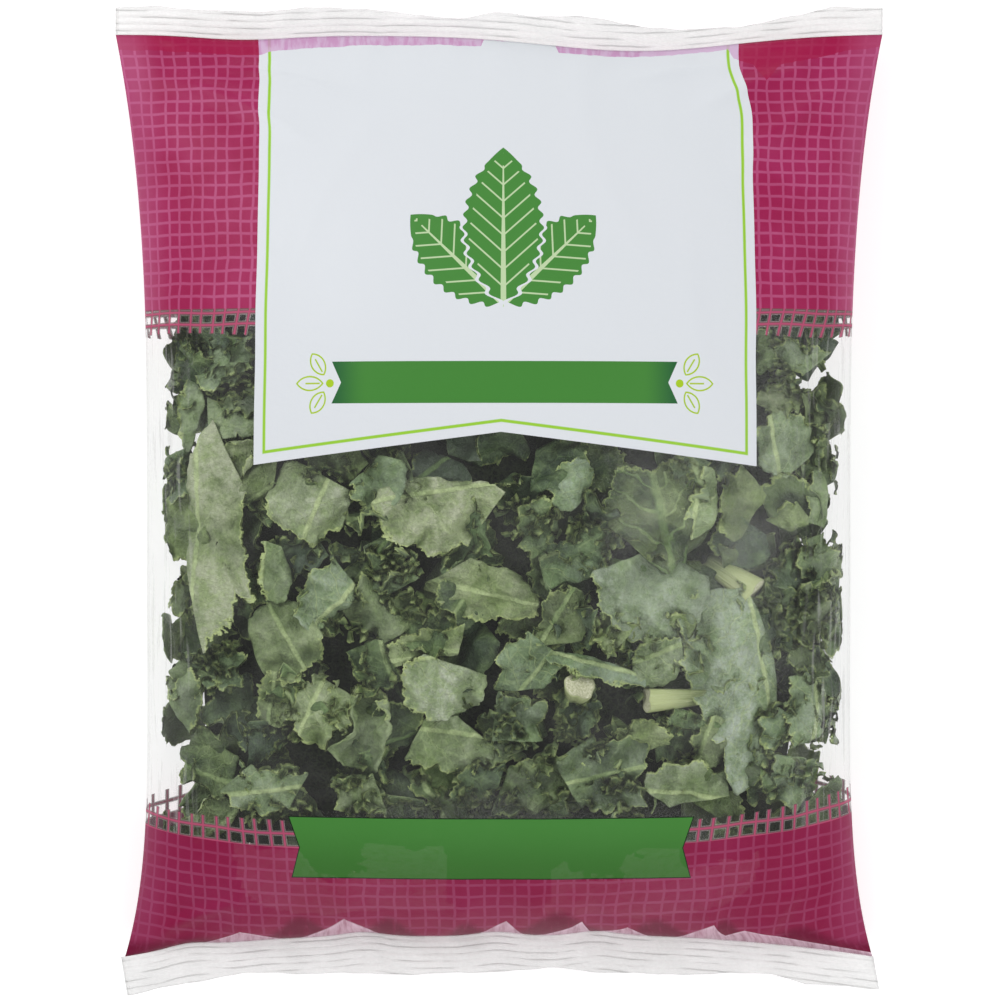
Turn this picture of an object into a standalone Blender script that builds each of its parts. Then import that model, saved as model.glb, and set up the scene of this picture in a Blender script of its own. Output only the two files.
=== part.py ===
"""A sealed pillow bag of chopped curly kale, lying on its back.

Metres, +Z up. X runs across the bag, Y along it towards the top crimp, and the origin is on the
surface that it rests on, under the middle of the bag.

The bag is one web of film folded to a tube, closed by a fin seal along the back and a crimped seal
across each end. Each printed colour of the film is a solid of its own, and the kale inside is a
heap with loose leaf pieces and cut stems lying on it under the window.
"""

import math
import random

import bmesh
import bpy
from mathutils import Matrix, Vector

MM = 0.001

# The film, laid flat and then filled. Seals and waist are half widths
TOP_HALF, WAIST_HALF, BOTTOM_HALF = 128.5 * MM, 116 * MM, 125.2 * MM
TOP_LINE = 156 * MM
# Dips of the top crimp's line: x of the middle, half width and depth
TOP_DIPS = ((44 * MM, 44 * MM, 5.5 * MM), (-86 * MM, 22 * MM, 1.8 * MM))
BOTTOM_LINE = 146 * MM
BOTTOM_EAR = 7 * MM
SIDE_HEIGHT = 24 * MM
END_HEIGHT = 9 * MM
FRONT_RISE = 40 * MM
BACK_DROP = 36 * MM
FRONT_POWER, FRONT_ROOT = 2.3, 0.72
FLOOR_BLEND = 6 * MM
WALL = 0.6 * MM
SIDE_WALL = 0.9 * MM
SLIT = 1.2 * MM
GAP = 0.3 * MM

# The printed zones, as shares of the way from the middle to each crimp
WINDOW_TOP = 0.379
WINDOW_BOTTOM = -0.757
ZONE_GAP = 0.002
ZONE_ROWS = {"top": 10, "window": 10, "bottom": 6}
SECTION_COLUMNS = 16

# The crimped seals
SEAL_GAP = 0.8 * MM
TOP_CRIMP = 8.5 * MM
BOTTOM_CRIMP = 12.5 * MM
CRIMP_THICK = 1.1 * MM
CRIMP_RIB = 0.35 * MM
CRIMP_RIBS = 3
CRIMP_COLUMNS = 22
CRIMP_WAVE = 1.6 * MM

# The fin along the back, folded flat in a groove of the film
FIN_WIDTH = 15 * MM
FIN_THICK = 0.7 * MM
FIN_GROOVE = 1.6 * MM
GROOVE_SHARES = (0.0855, 0.1325)
GROOVE_EDGE, GROOVE_SLOPE = 15 * MM, 4 * MM
GROOVE_END = 0.04

# The printed panel and ribbons, raised from the film
PRINT_THICK = 0.6 * MM
PRINT_LIFT = 0.7 * MM
LABEL_HALF = 80.9 * MM
LABEL_SHIFT = 2.3 * MM
LABEL_TAPER_Y, LABEL_TAPER = 125 * MM, 1.9 * MM
LABEL_CORNER_Y = 11 * MM
LABEL_PEAK_Y = 21.5 * MM
LABEL_TOP_SHARE = 0.965
RIBBON_MIDDLE, RIBBON_HALF = 3 * MM, 55.2 * MM
RIBBON_LOW, RIBBON_HIGH = 29 * MM, 44 * MM
LOWER_MIDDLE, LOWER_HALF = -1.3 * MM, 64.6 * MM
LOWER_LOW, LOWER_HIGH = -122.6 * MM, -102.3 * MM
RIBBON_NOTCH = 3.2 * MM

# The kale
LEAF_THICK = 0.75 * MM
LEAF_BANDS = ((1.2 * MM, 5.6 * MM), (7.2 * MM, 11.4 * MM))
HEAP_DEPTH = 13 * MM
HEAP_CLEAR = 1.4 * MM
HEAP_TOP, HEAP_BOTTOM = 0.84, -0.86
CORE_REACH = 0.82
BLADE_THICK = 0.9 * MM
BLADE_WAVE = 2.4 * MM
CORE_SINK_FRONT = 20 * MM
CORE_SINK_BACK = 9 * MM
STEM_SINK = 2.2 * MM
SEED = 27

MAGENTA = (0.47, 0.035, 0.16)
CLEAR = (0.93, 0.95, 0.94)
WHITE = (0.82, 0.84, 0.85)
GREEN = (0.06, 0.24, 0.06)
LEAF = (0.13, 0.22, 0.09)
DARK_LEAF = (0.05, 0.11, 0.05)
STEM = (0.46, 0.55, 0.25)

# Loose leaf pieces under the window: x, y, length and width in mm, turn in degrees, band, frill
LEAVES = {
    "leaf_left_long": (-90, -10, 73, 20, 87, 0, 0.6),
    "leaf_under_label": (-60.5, 0, 28, 25, 68, 0, 0.2),
    "leaf_pale_curl": (-17, -5, 45, 23, 8, 1, 0.3),
    "leaf_mid_fold": (-7, -29, 40, 20, -14, 0, 0.5),
    "leaf_veined": (49, -5, 38, 28, 102, 0, 0.3),
    "leaf_broad": (47, -30, 37, 28, -32, 1, 0.5),
    "leaf_right_long": (77, -66, 58, 27, -77, 0, 0.9),
    "leaf_pale_cut": (-18, -58, 29, 22, 8, 0, 0.1),
    "leaf_small_left": (-55, -29, 27, 17, 48, 0, 0.4),
    "leaf_net_veined": (-69, -46, 27, 24, -60, 1, 0.3),
    "leaf_low_right": (61, -92, 29, 17, -8, 1, 0.4),
    "leaf_curly_low": (33, -88, 33, 27, 12, 0, 1.0),
    "leaf_curly_left": (-57, -67, 26, 21, 65, 0, 1.0),
    "leaf_lower_mid": (-15, -79, 30, 19, -6, 1, 0.9),
    "leaf_side_notch": (79, 1, 26, 17, 76, 1, 0.6),
    "leaf_frill_mid": (9, -52, 25, 19, 50, 1, 1.0),
    "leaf_rolled": (-41, -74, 29, 14, 82, 1, 0.2),
    "leaf_bottom_left": (-75, -94, 31, 17, 8, 0, 0.8),
}
# Cut stems: x, y, length and diameter in mm, turn in degrees
STEMS = {
    "stem_cut_right": (76.5, -25, 18, 7.5, -34),
    "stem_cut_low": (53, -63.5, 17, 7, 2),
    "stem_end_middle": (27, -61.5, 10, 8.5, 70),
}


def smooth(share):
    """0 to 1 with level ends."""
    share = min(max(share, 0.0), 1.0)
    return share * share * (3 - 2 * share)


def fullness(s):
    """How full the bag is, 0 at a crimp and 1 where it is fattest. It is slacker towards the top."""
    power, root = (2.6, 0.85) if s > 0 else (4.2, 0.62)
    return max(0.0, 1 - abs(s) ** power) ** root


def half_width(s):
    """Half the filled bag's width: the film pulls in where it is full."""
    if s > 0:
        return WAIST_HALF + (TOP_HALF - WAIST_HALF) * s**2.8
    return WAIST_HALF + (BOTTOM_HALF - WAIST_HALF) * abs(s) ** 5.5


def side_height(s):
    """Height of the side folds, and of the crimps at the ends."""
    return END_HEIGHT + (SIDE_HEIGHT - END_HEIGHT) * (1 - abs(s) ** 2.5)


def crimp_line(x, end):
    """Y of a crimp's inner line. The top one sags in two dips, and the bottom corners stand out."""
    if end > 0:
        dips = [depth * math.exp(-(((x - x0) / width) ** 2)) for x0, width, depth in TOP_DIPS]
        return TOP_LINE - sum(dips)
    reach = min(abs(x) / BOTTOM_HALF, 1.0)
    return -(BOTTOM_LINE + BOTTOM_EAR * reach**3)


def crimp_wave(x, end):
    """The lift of a crimp above its own line, which ripples across the bag."""
    phase = 0.6 if end > 0 else 2.3
    return CRIMP_WAVE * math.sin(x / (19 * MM) + phase) * (1 - 0.15 * abs(x) / TOP_HALF)


def along(x, s):
    """Y of a point a share s of the way from the middle to the crimps."""
    low, high = crimp_line(x, -1), crimp_line(x, 1)
    return low + (high - low) * (s + 1) / 2


def share_at(x, y):
    """The share s at a point: the inverse of along."""
    low, high = crimp_line(x, -1), crimp_line(x, 1)
    return 2 * (y - low) / (high - low) - 1


def bulge(x, s, inset):
    """The section's height at x, 0 at a side fold and 1 in the middle."""
    width = half_width(s) - inset
    reach = min(abs(x) / width, 1.0)
    return (1 - reach**FRONT_POWER) ** FRONT_ROOT


def ripple(x, s):
    """A crimp's ripple, which dies out into the filled bag."""
    return crimp_wave(x, 1 if s > 0 else -1) * abs(s) ** 9


def front_height(x, s, wall=0.0, inset=0.0):
    """Z of the front film, its outer face or a wall's thickness under it."""
    rise = SLIT + FRONT_RISE * fullness(s) - wall
    return side_height(s) + ripple(x, s) + rise * bulge(x, s, inset)


def back_height(x, s, wall=0.0, inset=0.0):
    """Z of the back film. It lies flat on the surface, with a groove along the fin."""
    drop = SLIT + BACK_DROP * fullness(s) - wall
    raw = side_height(s) + ripple(x, s) - drop * bulge(x, s, inset) - wall
    lifted = raw * raw / (raw + FLOOR_BLEND) if raw > 0 else 0.0
    return lifted + wall + FIN_GROOVE * groove(x, s)


def groove(x, s):
    """1 over the fin and 0 away from it. It runs out before the crimps, where the film is pressed flat."""
    return smooth((GROOVE_EDGE - abs(x)) / GROOVE_SLOPE) * smooth((1 - abs(s)) / GROOVE_END)


def finished(name, bm, colour, roughness, smooth_faces=True):
    """A named object from a bmesh, with its material."""
    bm.normal_update()
    bmesh.ops.recalc_face_normals(bm, faces=bm.faces)
    mesh = bpy.data.meshes.new(name)
    bm.to_mesh(mesh)
    bm.free()
    if smooth_faces:
        mesh.shade_smooth()
        mesh.set_sharp_from_angle(angle=math.radians(40))
    obj = bpy.data.objects.new(name, mesh)
    bpy.context.scene.collection.objects.link(obj)
    obj.data.materials.append(material(name, colour, roughness))
    return obj


def material(name, colour, roughness):
    made = bpy.data.materials.new(name)
    made.use_nodes = True
    shader = made.node_tree.nodes["Principled BSDF"]
    shader.inputs["Base Color"].default_value = (*colour, 1)
    shader.inputs["Roughness"].default_value = roughness
    shader.inputs["Metallic"].default_value = 0.0
    return made


def section_columns():
    """(share of the half width, side) round the bag's section: over the front, back underneath."""
    half = SECTION_COLUMNS // 2
    right = [math.sin(math.pi / 2 * i / half) for i in range(1, half + 1)]
    over = [(-share, 1) for share in reversed(right)] + [(0.0, 1)]
    over += [(share, 1) for share in right]
    near = [*GROOVE_SHARES, 0.24, *right[2:-1]]
    under = [(share, -1) for share in reversed(near)] + [(-share, -1) for share in near]
    return over + under


def stations(low, high, rows):
    return [low + (high - low) * i / rows for i in range(rows + 1)]


def section_point(share, side, s, wall, inset):
    x = share * (half_width(s) - inset)
    y = along(x, s)
    if abs(share) > 0.9999:
        z = (front_height(x, s, wall, inset) + back_height(x, s, wall, inset)) / 2
    elif side > 0:
        z = front_height(x, s, wall, inset)
    else:
        z = back_height(x, s, wall, inset)
    return Vector((x, y, z))


def film_zone(name, rows, colour, roughness):
    """A stretch of the film tube: a ring drawn out along the outside, then back along the inside."""
    layers = [(s, 0.0, 0.0) for s in rows]
    layers += [(s, WALL, SIDE_WALL) for s in reversed(rows)]
    columns = section_columns()
    bm = bmesh.new()
    made = bmesh.ops.create_circle(bm, segments=len(columns), radius=1.0)
    first = made["verts"]
    edges = list(bm.edges)
    ring = first
    for number, (s, wall, inset) in enumerate(layers):
        if number:
            grown = bmesh.ops.extrude_edge_only(bm, edges=edges)["geom"]
            edges = [part for part in grown if isinstance(part, bmesh.types.BMEdge)]
            edges = [e for e in edges if not any(v in ring for v in e.verts)]
            ring = matched_ring(ring, edges)
        for vert, (share, side) in zip(ring, columns):
            vert.co = section_point(share, side, s, wall, inset)
    start = [e for e in bm.edges if all(v in first for v in e.verts)]
    bmesh.ops.bridge_loops(bm, edges=start + edges)
    bmesh.ops.triangulate(bm, faces=list(bm.faces), quad_method="SHORT_EDGE")
    return finished(name, bm, colour, roughness)


def matched_ring(ring, edges):
    """The new ring's points, in the order of the ring that they grew from."""
    fresh = {v for e in edges for v in e.verts}
    return [next(e.other_vert(v) for e in v.link_edges if e.other_vert(v) in fresh) for v in ring]


def crimp(name, end, height):
    """A crimped seal: both layers of film pressed together in ribs that run across the bag."""
    bm = bmesh.new()
    steps = 2 * CRIMP_RIBS
    bmesh.ops.create_grid(bm, x_segments=CRIMP_COLUMNS, y_segments=steps, size=1.0)
    low = [v for v in bm.verts]
    grown = bmesh.ops.extrude_face_region(bm, geom=list(bm.faces))["geom"]
    high = [part for part in grown if isinstance(part, bmesh.types.BMVert)]
    width = TOP_HALF if end > 0 else BOTTOM_HALF
    for group, lift in ((low, -0.5), (high, 0.5)):
        for vert in group:
            x = vert.co.x * width
            out = (vert.co.y + 1) / 2
            rib = CRIMP_RIB * (round(out * steps) % 2) * (1 if lift > 0 else -1)
            y = crimp_line(x, end) + end * (SEAL_GAP + (height + ragged(x, end)) * out)
            z = END_HEIGHT + crimp_wave(x, end) * (1 + 0.5 * out) + CRIMP_THICK * lift + rib
            vert.co = (x, y, z)
    return finished(name, bm, WHITE, 0.4, smooth_faces=False)


def ragged(x, end):
    """The cut edge of a crimp isn't quite straight."""
    return 0.5 * MM * math.sin(x / (11 * MM) + end)


def back_fin(rows):
    """The fin seal: a strip down the middle of the back, folded flat into the film's groove."""
    bm = bmesh.new()
    bmesh.ops.create_grid(bm, x_segments=1, y_segments=len(rows) - 1, size=1.0)
    low = list(bm.verts)
    grown = bmesh.ops.extrude_face_region(bm, geom=list(bm.faces))["geom"]
    high = [part for part in grown if isinstance(part, bmesh.types.BMVert)]
    for group, lift in ((low, 0.0), (high, FIN_THICK)):
        for vert in group:
            x = vert.co.x * FIN_WIDTH / 2
            s = rows[round((vert.co.y + 1) / 2 * (len(rows) - 1))]
            z = back_height(0.0, s) - GAP - FIN_THICK - GAP / 2
            vert.co = (x, along(x, s), z + lift)
    return finished("back_fin_seal", bm, WHITE, 0.4)


def print_patch(name, outline, columns, rows, lift, colour):
    """A printed patch raised from the front film. outline(a, b) gives x and y for -1..1, 0..1."""
    bm = bmesh.new()
    bmesh.ops.create_grid(bm, x_segments=columns, y_segments=rows, size=1.0)
    bmesh.ops.triangulate(bm, faces=list(bm.faces))
    low = list(bm.verts)
    grown = bmesh.ops.extrude_face_region(bm, geom=list(bm.faces))["geom"]
    high = [part for part in grown if isinstance(part, bmesh.types.BMVert)]
    for group, thick in ((low, 0.0), (high, PRINT_THICK)):
        for vert in group:
            x, y = outline(vert.co.x, (vert.co.y + 1) / 2)
            vert.co = (x, y, front_height(x, share_at(x, y)) + lift + thick)
    return finished(name, bm, colour, 0.3)


def label_outline(a, b):
    """The white panel: from the top crimp, narrower there, down to a shallow upward chevron."""
    low = LABEL_PEAK_Y + (LABEL_CORNER_Y - LABEL_PEAK_Y) * abs(a)
    high = along(a * LABEL_HALF, LABEL_TOP_SHARE)
    y = low + (high - low) * b
    full = smooth((LABEL_TAPER_Y + 25 * MM - y) / (25 * MM))
    half = LABEL_HALF - LABEL_TAPER * (1 - full)
    return a * half + LABEL_SHIFT * full, y


def ribbon_outline(middle, half, low, high):
    """A ribbon whose two ends are notched like a swallow's tail."""

    def outline(a, b):
        notch = RIBBON_NOTCH * (1 - abs(2 * b - 1)) * smooth((abs(a) - 0.8) / 0.2)
        return middle + a * half - math.copysign(notch, a), low + (high - low) * b

    return outline


def leaf_height(p, q, frill, phase, band):
    """Height of a leaf piece inside its band, as a share: folded, with waves rising to the rim."""
    rim = smooth((max(abs(p) * 0.75, q) - 0.1) / 0.9)
    wave = math.sin(5.2 * p + 2.1 * q + phase) * (0.35 + 0.65 * rim)
    fine = math.sin(11.0 * p + 3 * q + 1.7 * phase) * rim * frill
    fold = 0.35 * math.cos(2.2 * q + phase)
    share = 0.5 + (0.22 * wave + 0.20 * fine + 0.25 * fold) * (0.7 + 0.3 * frill)
    return band[0] + (band[1] - band[0]) * min(max(share, 0.02), 0.98)


def leaf_outline(p, q, length, width, frill, phase):
    """A cut piece of leaf: one side and both ends cut, and the other side its own lobed rim."""
    taper = 1 - 0.22 * (0.5 + 0.5 * math.sin(phase)) * (p + 1) / 2 - 0.12 * p * p
    lobe = 1 + (0.08 + 0.12 * frill) * math.sin(8.5 * p + phase) * smooth((q + 0.4) / 1.4)
    bow = 0.10 * length * (1 - p * p) * math.sin(1.3 * phase)
    return 0.5 * length * p * (1 - 0.06 * q * q), 0.5 * width * q * taper * lobe + bow * 0.5


def leaf_piece(name, place, number):
    """One loose piece of leaf lying in its band under the front film."""
    x0, y0, length, width, turn, level, frill = place
    band = LEAF_BANDS[level]
    phase = 1.9 * number
    bm = bmesh.new()
    bmesh.ops.create_grid(bm, x_segments=10, y_segments=3, size=1.0)
    bmesh.ops.triangulate(bm, faces=list(bm.faces))
    low = list(bm.verts)
    grown = bmesh.ops.extrude_face_region(bm, geom=list(bm.faces))["geom"]
    high = [part for part in grown if isinstance(part, bmesh.types.BMVert)]
    turned = Matrix.Rotation(math.radians(turn), 3, "Z")
    for group, under in ((low, LEAF_THICK), (high, 0.0)):
        for vert in group:
            p, q = vert.co.x, vert.co.y
            flat = leaf_outline(p, q, length * MM, width * MM, frill, phase)
            spot = turned @ Vector((*flat, 0)) + Vector((x0 * MM, y0 * MM, 0))
            depth = WALL + leaf_height(p, q, frill, phase, band)
            top = front_height(spot.x, share_at(spot.x, spot.y))
            vert.co = (spot.x, spot.y, top - depth - under)
    return finished(name, bm, LEAF, 0.55)


def cut_stem(name, place):
    """A short length of stem with slanting cut ends."""
    x0, y0, length, diameter, turn = place
    bm = bmesh.new()
    made = bmesh.ops.create_cone(
        bm,
        cap_ends=True,
        segments=8,
        radius1=diameter * MM / 2,
        radius2=diameter * MM * 0.42,
        depth=length * MM,
    )
    turned = Matrix.Rotation(math.radians(turn), 3, "Z")
    lying = turned @ Matrix.Rotation(math.pi / 2, 3, "Y")
    tip = turned @ Vector((length * MM / 2, 0, 0))
    ends = [(x0 * MM + way * tip.x, y0 * MM + way * tip.y) for way in (-1, 0, 1)]
    top = min(front_height(x, share_at(x, y)) for x, y in ends)
    middle = Vector((x0 * MM, y0 * MM, top - WALL - STEM_SINK - diameter * MM / 2))
    for vert in made["verts"]:
        slant = 0.18 * vert.co.x * (1 if vert.co.z > 0 else -1)
        vert.co = lying @ (vert.co + Vector((0, 0, slant))) + middle
    return finished(name, bm, STEM, 0.5)


def heap_limits(x, y):
    """Lowest and highest z of the heap at a place, clear of the film and of the loose pieces."""
    s = share_at(x, y)
    reach = abs(x) / half_width(s)
    under = HEAP_DEPTH + (HEAP_CLEAR - HEAP_DEPTH) * smooth((reach - 0.89) / 0.06)
    high = front_height(x, s) - WALL - under
    return back_height(x, s) + WALL + HEAP_CLEAR, high


def core_spot(across, up, out):
    """A point of the core, given on or in a unit ball."""
    middle, reach = (HEAP_TOP + HEAP_BOTTOM) / 2, (HEAP_TOP - HEAP_BOTTOM) / 2
    s = middle + reach * CORE_REACH * up
    x = across * CORE_REACH * half_width(s)
    y = along(x, s)
    low = back_height(x, s) + WALL + CORE_SINK_BACK
    high = front_height(x, s) - WALL - CORE_SINK_FRONT
    spread = max((high - low) / 2, 1.5 * MM)
    return Vector((x, y, (low + high) / 2 + spread * out))


def heap_core():
    """The dense middle of the heap, which the pieces stand out of."""
    bm = bmesh.new()
    bmesh.ops.create_uvsphere(bm, u_segments=20, v_segments=10, radius=1.0)
    for vert in bm.verts:
        vert.co = core_spot(*vert.co)
    return finished("kale_heap", bm, DARK_LEAF, 0.6)


def heap_blade(number, root, length, width, turn, tilt, phase):
    """A piece of leaf that stands out of the heap's core, with a waved rim."""
    bm = bmesh.new()
    bmesh.ops.create_grid(bm, x_segments=5, y_segments=2, size=1.0)
    bmesh.ops.triangulate(bm, faces=list(bm.faces))
    low = list(bm.verts)
    grown = bmesh.ops.extrude_face_region(bm, geom=list(bm.faces))["geom"]
    high = [part for part in grown if isinstance(part, bmesh.types.BMVert)]
    facing = Matrix.Rotation(turn, 3, "Z") @ Matrix.Rotation(-tilt, 3, "Y")
    for group, thick in ((low, 0.0), (high, BLADE_THICK)):
        for vert in group:
            p, q = (vert.co.x + 1) / 2, vert.co.y
            wave = BLADE_WAVE * smooth(p) * math.sin(7 * p + 2.6 * q + phase)
            flat = Vector((length * p, 0.5 * width * q * (0.7 + 0.4 * math.sin(2.6 * p)), wave))
            spot = facing @ flat + root
            bound = half_width(share_at(spot.x, spot.y)) - SIDE_WALL - 4 * MM
            spot.x = math.copysign(min(abs(spot.x), bound), spot.x)
            floor_z, roof_z = heap_limits(spot.x, spot.y)
            free = max(roof_z - floor_z - BLADE_THICK, 0.2 * MM)
            share = 0.5 + 0.5 * math.tanh(2.2 * ((spot.z - floor_z) / free - 0.5))
            vert.co = (spot.x, spot.y, floor_z + free * share + thick)
    return finished(f"blade_{number}", bm, DARK_LEAF, 0.6)


def blade_places(draw):
    """(root, turn, tilt) of each blade: over the core's front, round its rim, and over its back."""
    places = []
    rings = ((0.15, 3, 0.7), (0.42, 7, 0.7), (0.66, 11, 0.65), (0.80, 18, 0.0), (0.50, 8, -0.7))
    for radius, count, level in rings:
        for step in range(count):
            angle = math.tau * (step + draw.uniform(-0.2, 0.2)) / count
            out = level * math.sqrt(1 - radius**2)
            root = core_spot(radius * math.cos(angle), radius * math.sin(angle), out)
            swing = 0.4 if level == 0 else 2.4
            tilt = draw.uniform(0.2, 0.6) * (1 if level > 0 else -1 if level < 0 else 0.3)
            places.append((root, angle + draw.uniform(-swing, swing), tilt))
    return places


def shell_from(face):
    """Every face joined to this one."""
    shell, edge_of = {face}, [face]
    while edge_of:
        for edge in edge_of.pop().edges:
            for near in edge.link_faces:
                if near not in shell:
                    shell.add(near)
                    edge_of.append(near)
    return shell


def keep_outer_shell(mesh):
    """Fills the pockets that blades close off among themselves, by taking their walls away."""
    bm = bmesh.new()
    bm.from_mesh(mesh)
    loose, shells = set(bm.faces), []
    while loose:
        shell = shell_from(next(iter(loose)))
        loose -= shell
        shells.append(shell)
    shells.sort(key=len)
    for shell in shells[:-1]:
        bmesh.ops.delete(bm, geom=list(shell), context="FACES")
    bm.to_mesh(mesh)
    bm.free()


def kale_heap():
    """The rest of the kale as one body: blades rooted in a core and joined to it."""
    draw = random.Random(SEED)
    core = heap_core()
    blades = bpy.data.collections.new("heap_blades")
    bpy.context.scene.collection.children.link(blades)
    for number, (root, turn, tilt) in enumerate(blade_places(draw)):
        length, width = draw.uniform(26, 36) * MM, draw.uniform(16, 24) * MM
        blade = heap_blade(number, root, length, width, turn, tilt, draw.uniform(0, 6))
        bpy.context.scene.collection.objects.unlink(blade)
        blades.objects.link(blade)
    join = core.modifiers.new("join", "BOOLEAN")
    join.operation = "UNION"
    join.operand_type = "COLLECTION"
    join.collection = blades
    join.solver = "MANIFOLD"
    graph = bpy.context.evaluated_depsgraph_get()
    joined = bpy.data.meshes.new_from_object(core.evaluated_get(graph))
    core.modifiers.clear()
    core.data = joined
    keep_outer_shell(joined)
    for blade in list(blades.objects):
        bpy.data.objects.remove(blade)
    bpy.data.collections.remove(blades)
    return core


def main():
    for obj in list(bpy.data.objects):
        bpy.data.objects.remove(obj)
    top = stations(WINDOW_TOP + ZONE_GAP, 1.0, ZONE_ROWS["top"])
    window = stations(WINDOW_BOTTOM, WINDOW_TOP, ZONE_ROWS["window"])
    bottom = stations(-1.0, WINDOW_BOTTOM - ZONE_GAP, ZONE_ROWS["bottom"])
    film_zone("film_top_band", top, MAGENTA, 0.3)
    film_zone("film_window", window, CLEAR, 0.1)
    film_zone("film_bottom_band", bottom, MAGENTA, 0.3)
    crimp("top_crimp_seal", 1, TOP_CRIMP)
    crimp("bottom_crimp_seal", -1, BOTTOM_CRIMP)
    back_fin(bottom[1:] + window + top[:-1])
    print_patch("label_panel", label_outline, 12, 9, PRINT_LIFT, WHITE)
    over = 2 * PRINT_LIFT + PRINT_THICK
    upper = ribbon_outline(RIBBON_MIDDLE, RIBBON_HALF, RIBBON_LOW, RIBBON_HIGH)
    print_patch("label_ribbon", upper, 12, 2, over, GREEN)
    lower = ribbon_outline(LOWER_MIDDLE, LOWER_HALF, LOWER_LOW, LOWER_HIGH)
    print_patch("lower_ribbon", lower, 14, 4, PRINT_LIFT, GREEN)
    for number, (name, place) in enumerate(LEAVES.items()):
        leaf_piece(name, place, number)
    for name, place in STEMS.items():
        cut_stem(name, place)
    kale_heap()


main()
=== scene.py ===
# %% [markdown]
# # A bag of chopped kale
#
# The real thing is a pillow bag: one web of printed film, closed by a fin down the back and a
# crimp across each end, with 340 g of washed and chopped curly kale inside. It lies on its back.
# We dress a imported frame of plain solids. It fixes every size, so we start by loading it.
# Lengths in this lesson are in millimetres until a mesh is made.

import math
import random
from typing import NamedTuple

import bmesh
import bpy
import numpy as np
from mathutils import Matrix, Vector


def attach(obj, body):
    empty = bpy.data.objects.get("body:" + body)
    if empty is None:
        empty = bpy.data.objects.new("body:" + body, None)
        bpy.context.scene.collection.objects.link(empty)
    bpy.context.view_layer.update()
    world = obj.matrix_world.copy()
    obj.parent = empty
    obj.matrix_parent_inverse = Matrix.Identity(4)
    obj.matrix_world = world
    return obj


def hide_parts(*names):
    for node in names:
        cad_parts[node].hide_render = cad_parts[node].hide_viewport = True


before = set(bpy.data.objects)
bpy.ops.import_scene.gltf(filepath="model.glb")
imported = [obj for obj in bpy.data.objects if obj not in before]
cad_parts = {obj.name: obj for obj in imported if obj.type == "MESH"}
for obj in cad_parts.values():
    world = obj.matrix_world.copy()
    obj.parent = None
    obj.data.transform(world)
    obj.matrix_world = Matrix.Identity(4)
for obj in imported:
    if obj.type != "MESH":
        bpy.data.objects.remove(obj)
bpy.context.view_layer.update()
MM = 0.001

# %% [markdown]
# ## The shape of the filled film
#
# A flat tube that is filled pulls in at its waist and swells in the middle. We describe it with
# two numbers: s runs from -1 at the bottom crimp to 1 at the top one, and the share runs from -1
# to 1 across the width. These are the solids' own formulas, written for whole arrays of points.

# %% Film formulas
TOP_HALF, WAIST_HALF, BOTTOM_HALF = 128.5, 116.0, 125.2
TOP_LINE, BOTTOM_LINE, BOTTOM_EAR = 156.0, 146.0, 7.0
# Dips of the top crimp's line and scallops of the bottom one: x, half width and depth
TOP_DIPS = ((44, 44, 5.5), (-86, 22, 1.8))
SCALLOPS = ((-104, 9, 1.4), (-46, 9, 1.4), (-1, 9, 1.4), (33, 9, 1.4))
SIDE_HEIGHT, END_HEIGHT = 24.0, 9.0
FRONT_RISE, BACK_DROP = 40.0, 36.0
FRONT_POWER, FRONT_ROOT = 2.3, 0.72
FLOOR_BLEND = 6.0
# Towards each end: how late the bag gets thinner and how steeply, and how late it gets wider
TOP_FULL, BOTTOM_FULL = (2.6, 0.85), (4.2, 0.62)
TOP_FLARE, BOTTOM_FLARE = 2.8, 5.5
# The sway of the crimps: height, length, and the phase of each
CRIMP_WAVE, WAVE_LENGTH, TOP_PHASE, LOW_PHASE = 1.6, 19, 0.6, 2.3
GROOVE_DEEP, GROOVE_HALF, GROOVE_SIDE = 1.6, 15, 4


def ease(share):
    """0 to 1 with level ends."""
    share = np.clip(share, 0.0, 1.0)
    return share * share * (3 - 2 * share)


def fullness(s):
    """1 at the waist, and 0 at both crimps."""
    upper, lower = (
        np.clip(1 - np.abs(s) ** late, 0, 1) ** steep for late, steep in (TOP_FULL, BOTTOM_FULL)
    )
    return np.where(s > 0, upper, lower)


def half_width(s):
    upper = (TOP_HALF - WAIST_HALF) * np.abs(s) ** TOP_FLARE
    lower = (BOTTOM_HALF - WAIST_HALF) * np.abs(s) ** BOTTOM_FLARE
    return WAIST_HALF + np.where(s > 0, upper, lower)


def bells(x, table):
    """The sum of a table's bell curves."""
    return sum(height * np.exp(-(((x - x0) / width) ** 2)) for x0, width, height in table)


def crimp_line(x, end):
    """Y of a crimp's inner line. end is 1 for the top and -1 for the bottom."""
    if end > 0:
        return TOP_LINE - bells(x, TOP_DIPS)
    reach = np.clip(np.abs(x) / BOTTOM_HALF, 0, 1)
    return bells(x, SCALLOPS) - BOTTOM_LINE - BOTTOM_EAR * reach**3


def crimp_wave(x, end):
    phase = TOP_PHASE if end > 0 else LOW_PHASE
    return CRIMP_WAVE * np.sin(x / WAVE_LENGTH + phase) * (1 - 0.15 * np.abs(x) / TOP_HALF)


def along(x, s):
    """Y of a point, from its x and s."""
    low, high = crimp_line(x, -1), crimp_line(x, 1)
    return low + (high - low) * (s + 1) / 2


def share_at(x, y):
    """s of a point, from its x and y."""
    low, high = crimp_line(x, -1), crimp_line(x, 1)
    return np.clip(2 * (y - low) / (high - low) - 1, -1, 1)


def middle_height(x, s):
    ripple = np.where(s > 0, crimp_wave(x, 1), crimp_wave(x, -1)) * np.abs(s) ** 9
    return END_HEIGHT + (SIDE_HEIGHT - END_HEIGHT) * (1 - np.abs(s) ** 2.5) + ripple


def bulge(x, s):
    reach = np.clip(np.abs(x) / half_width(s), 0, 1)
    return (1 - reach**FRONT_POWER) ** FRONT_ROOT


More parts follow.
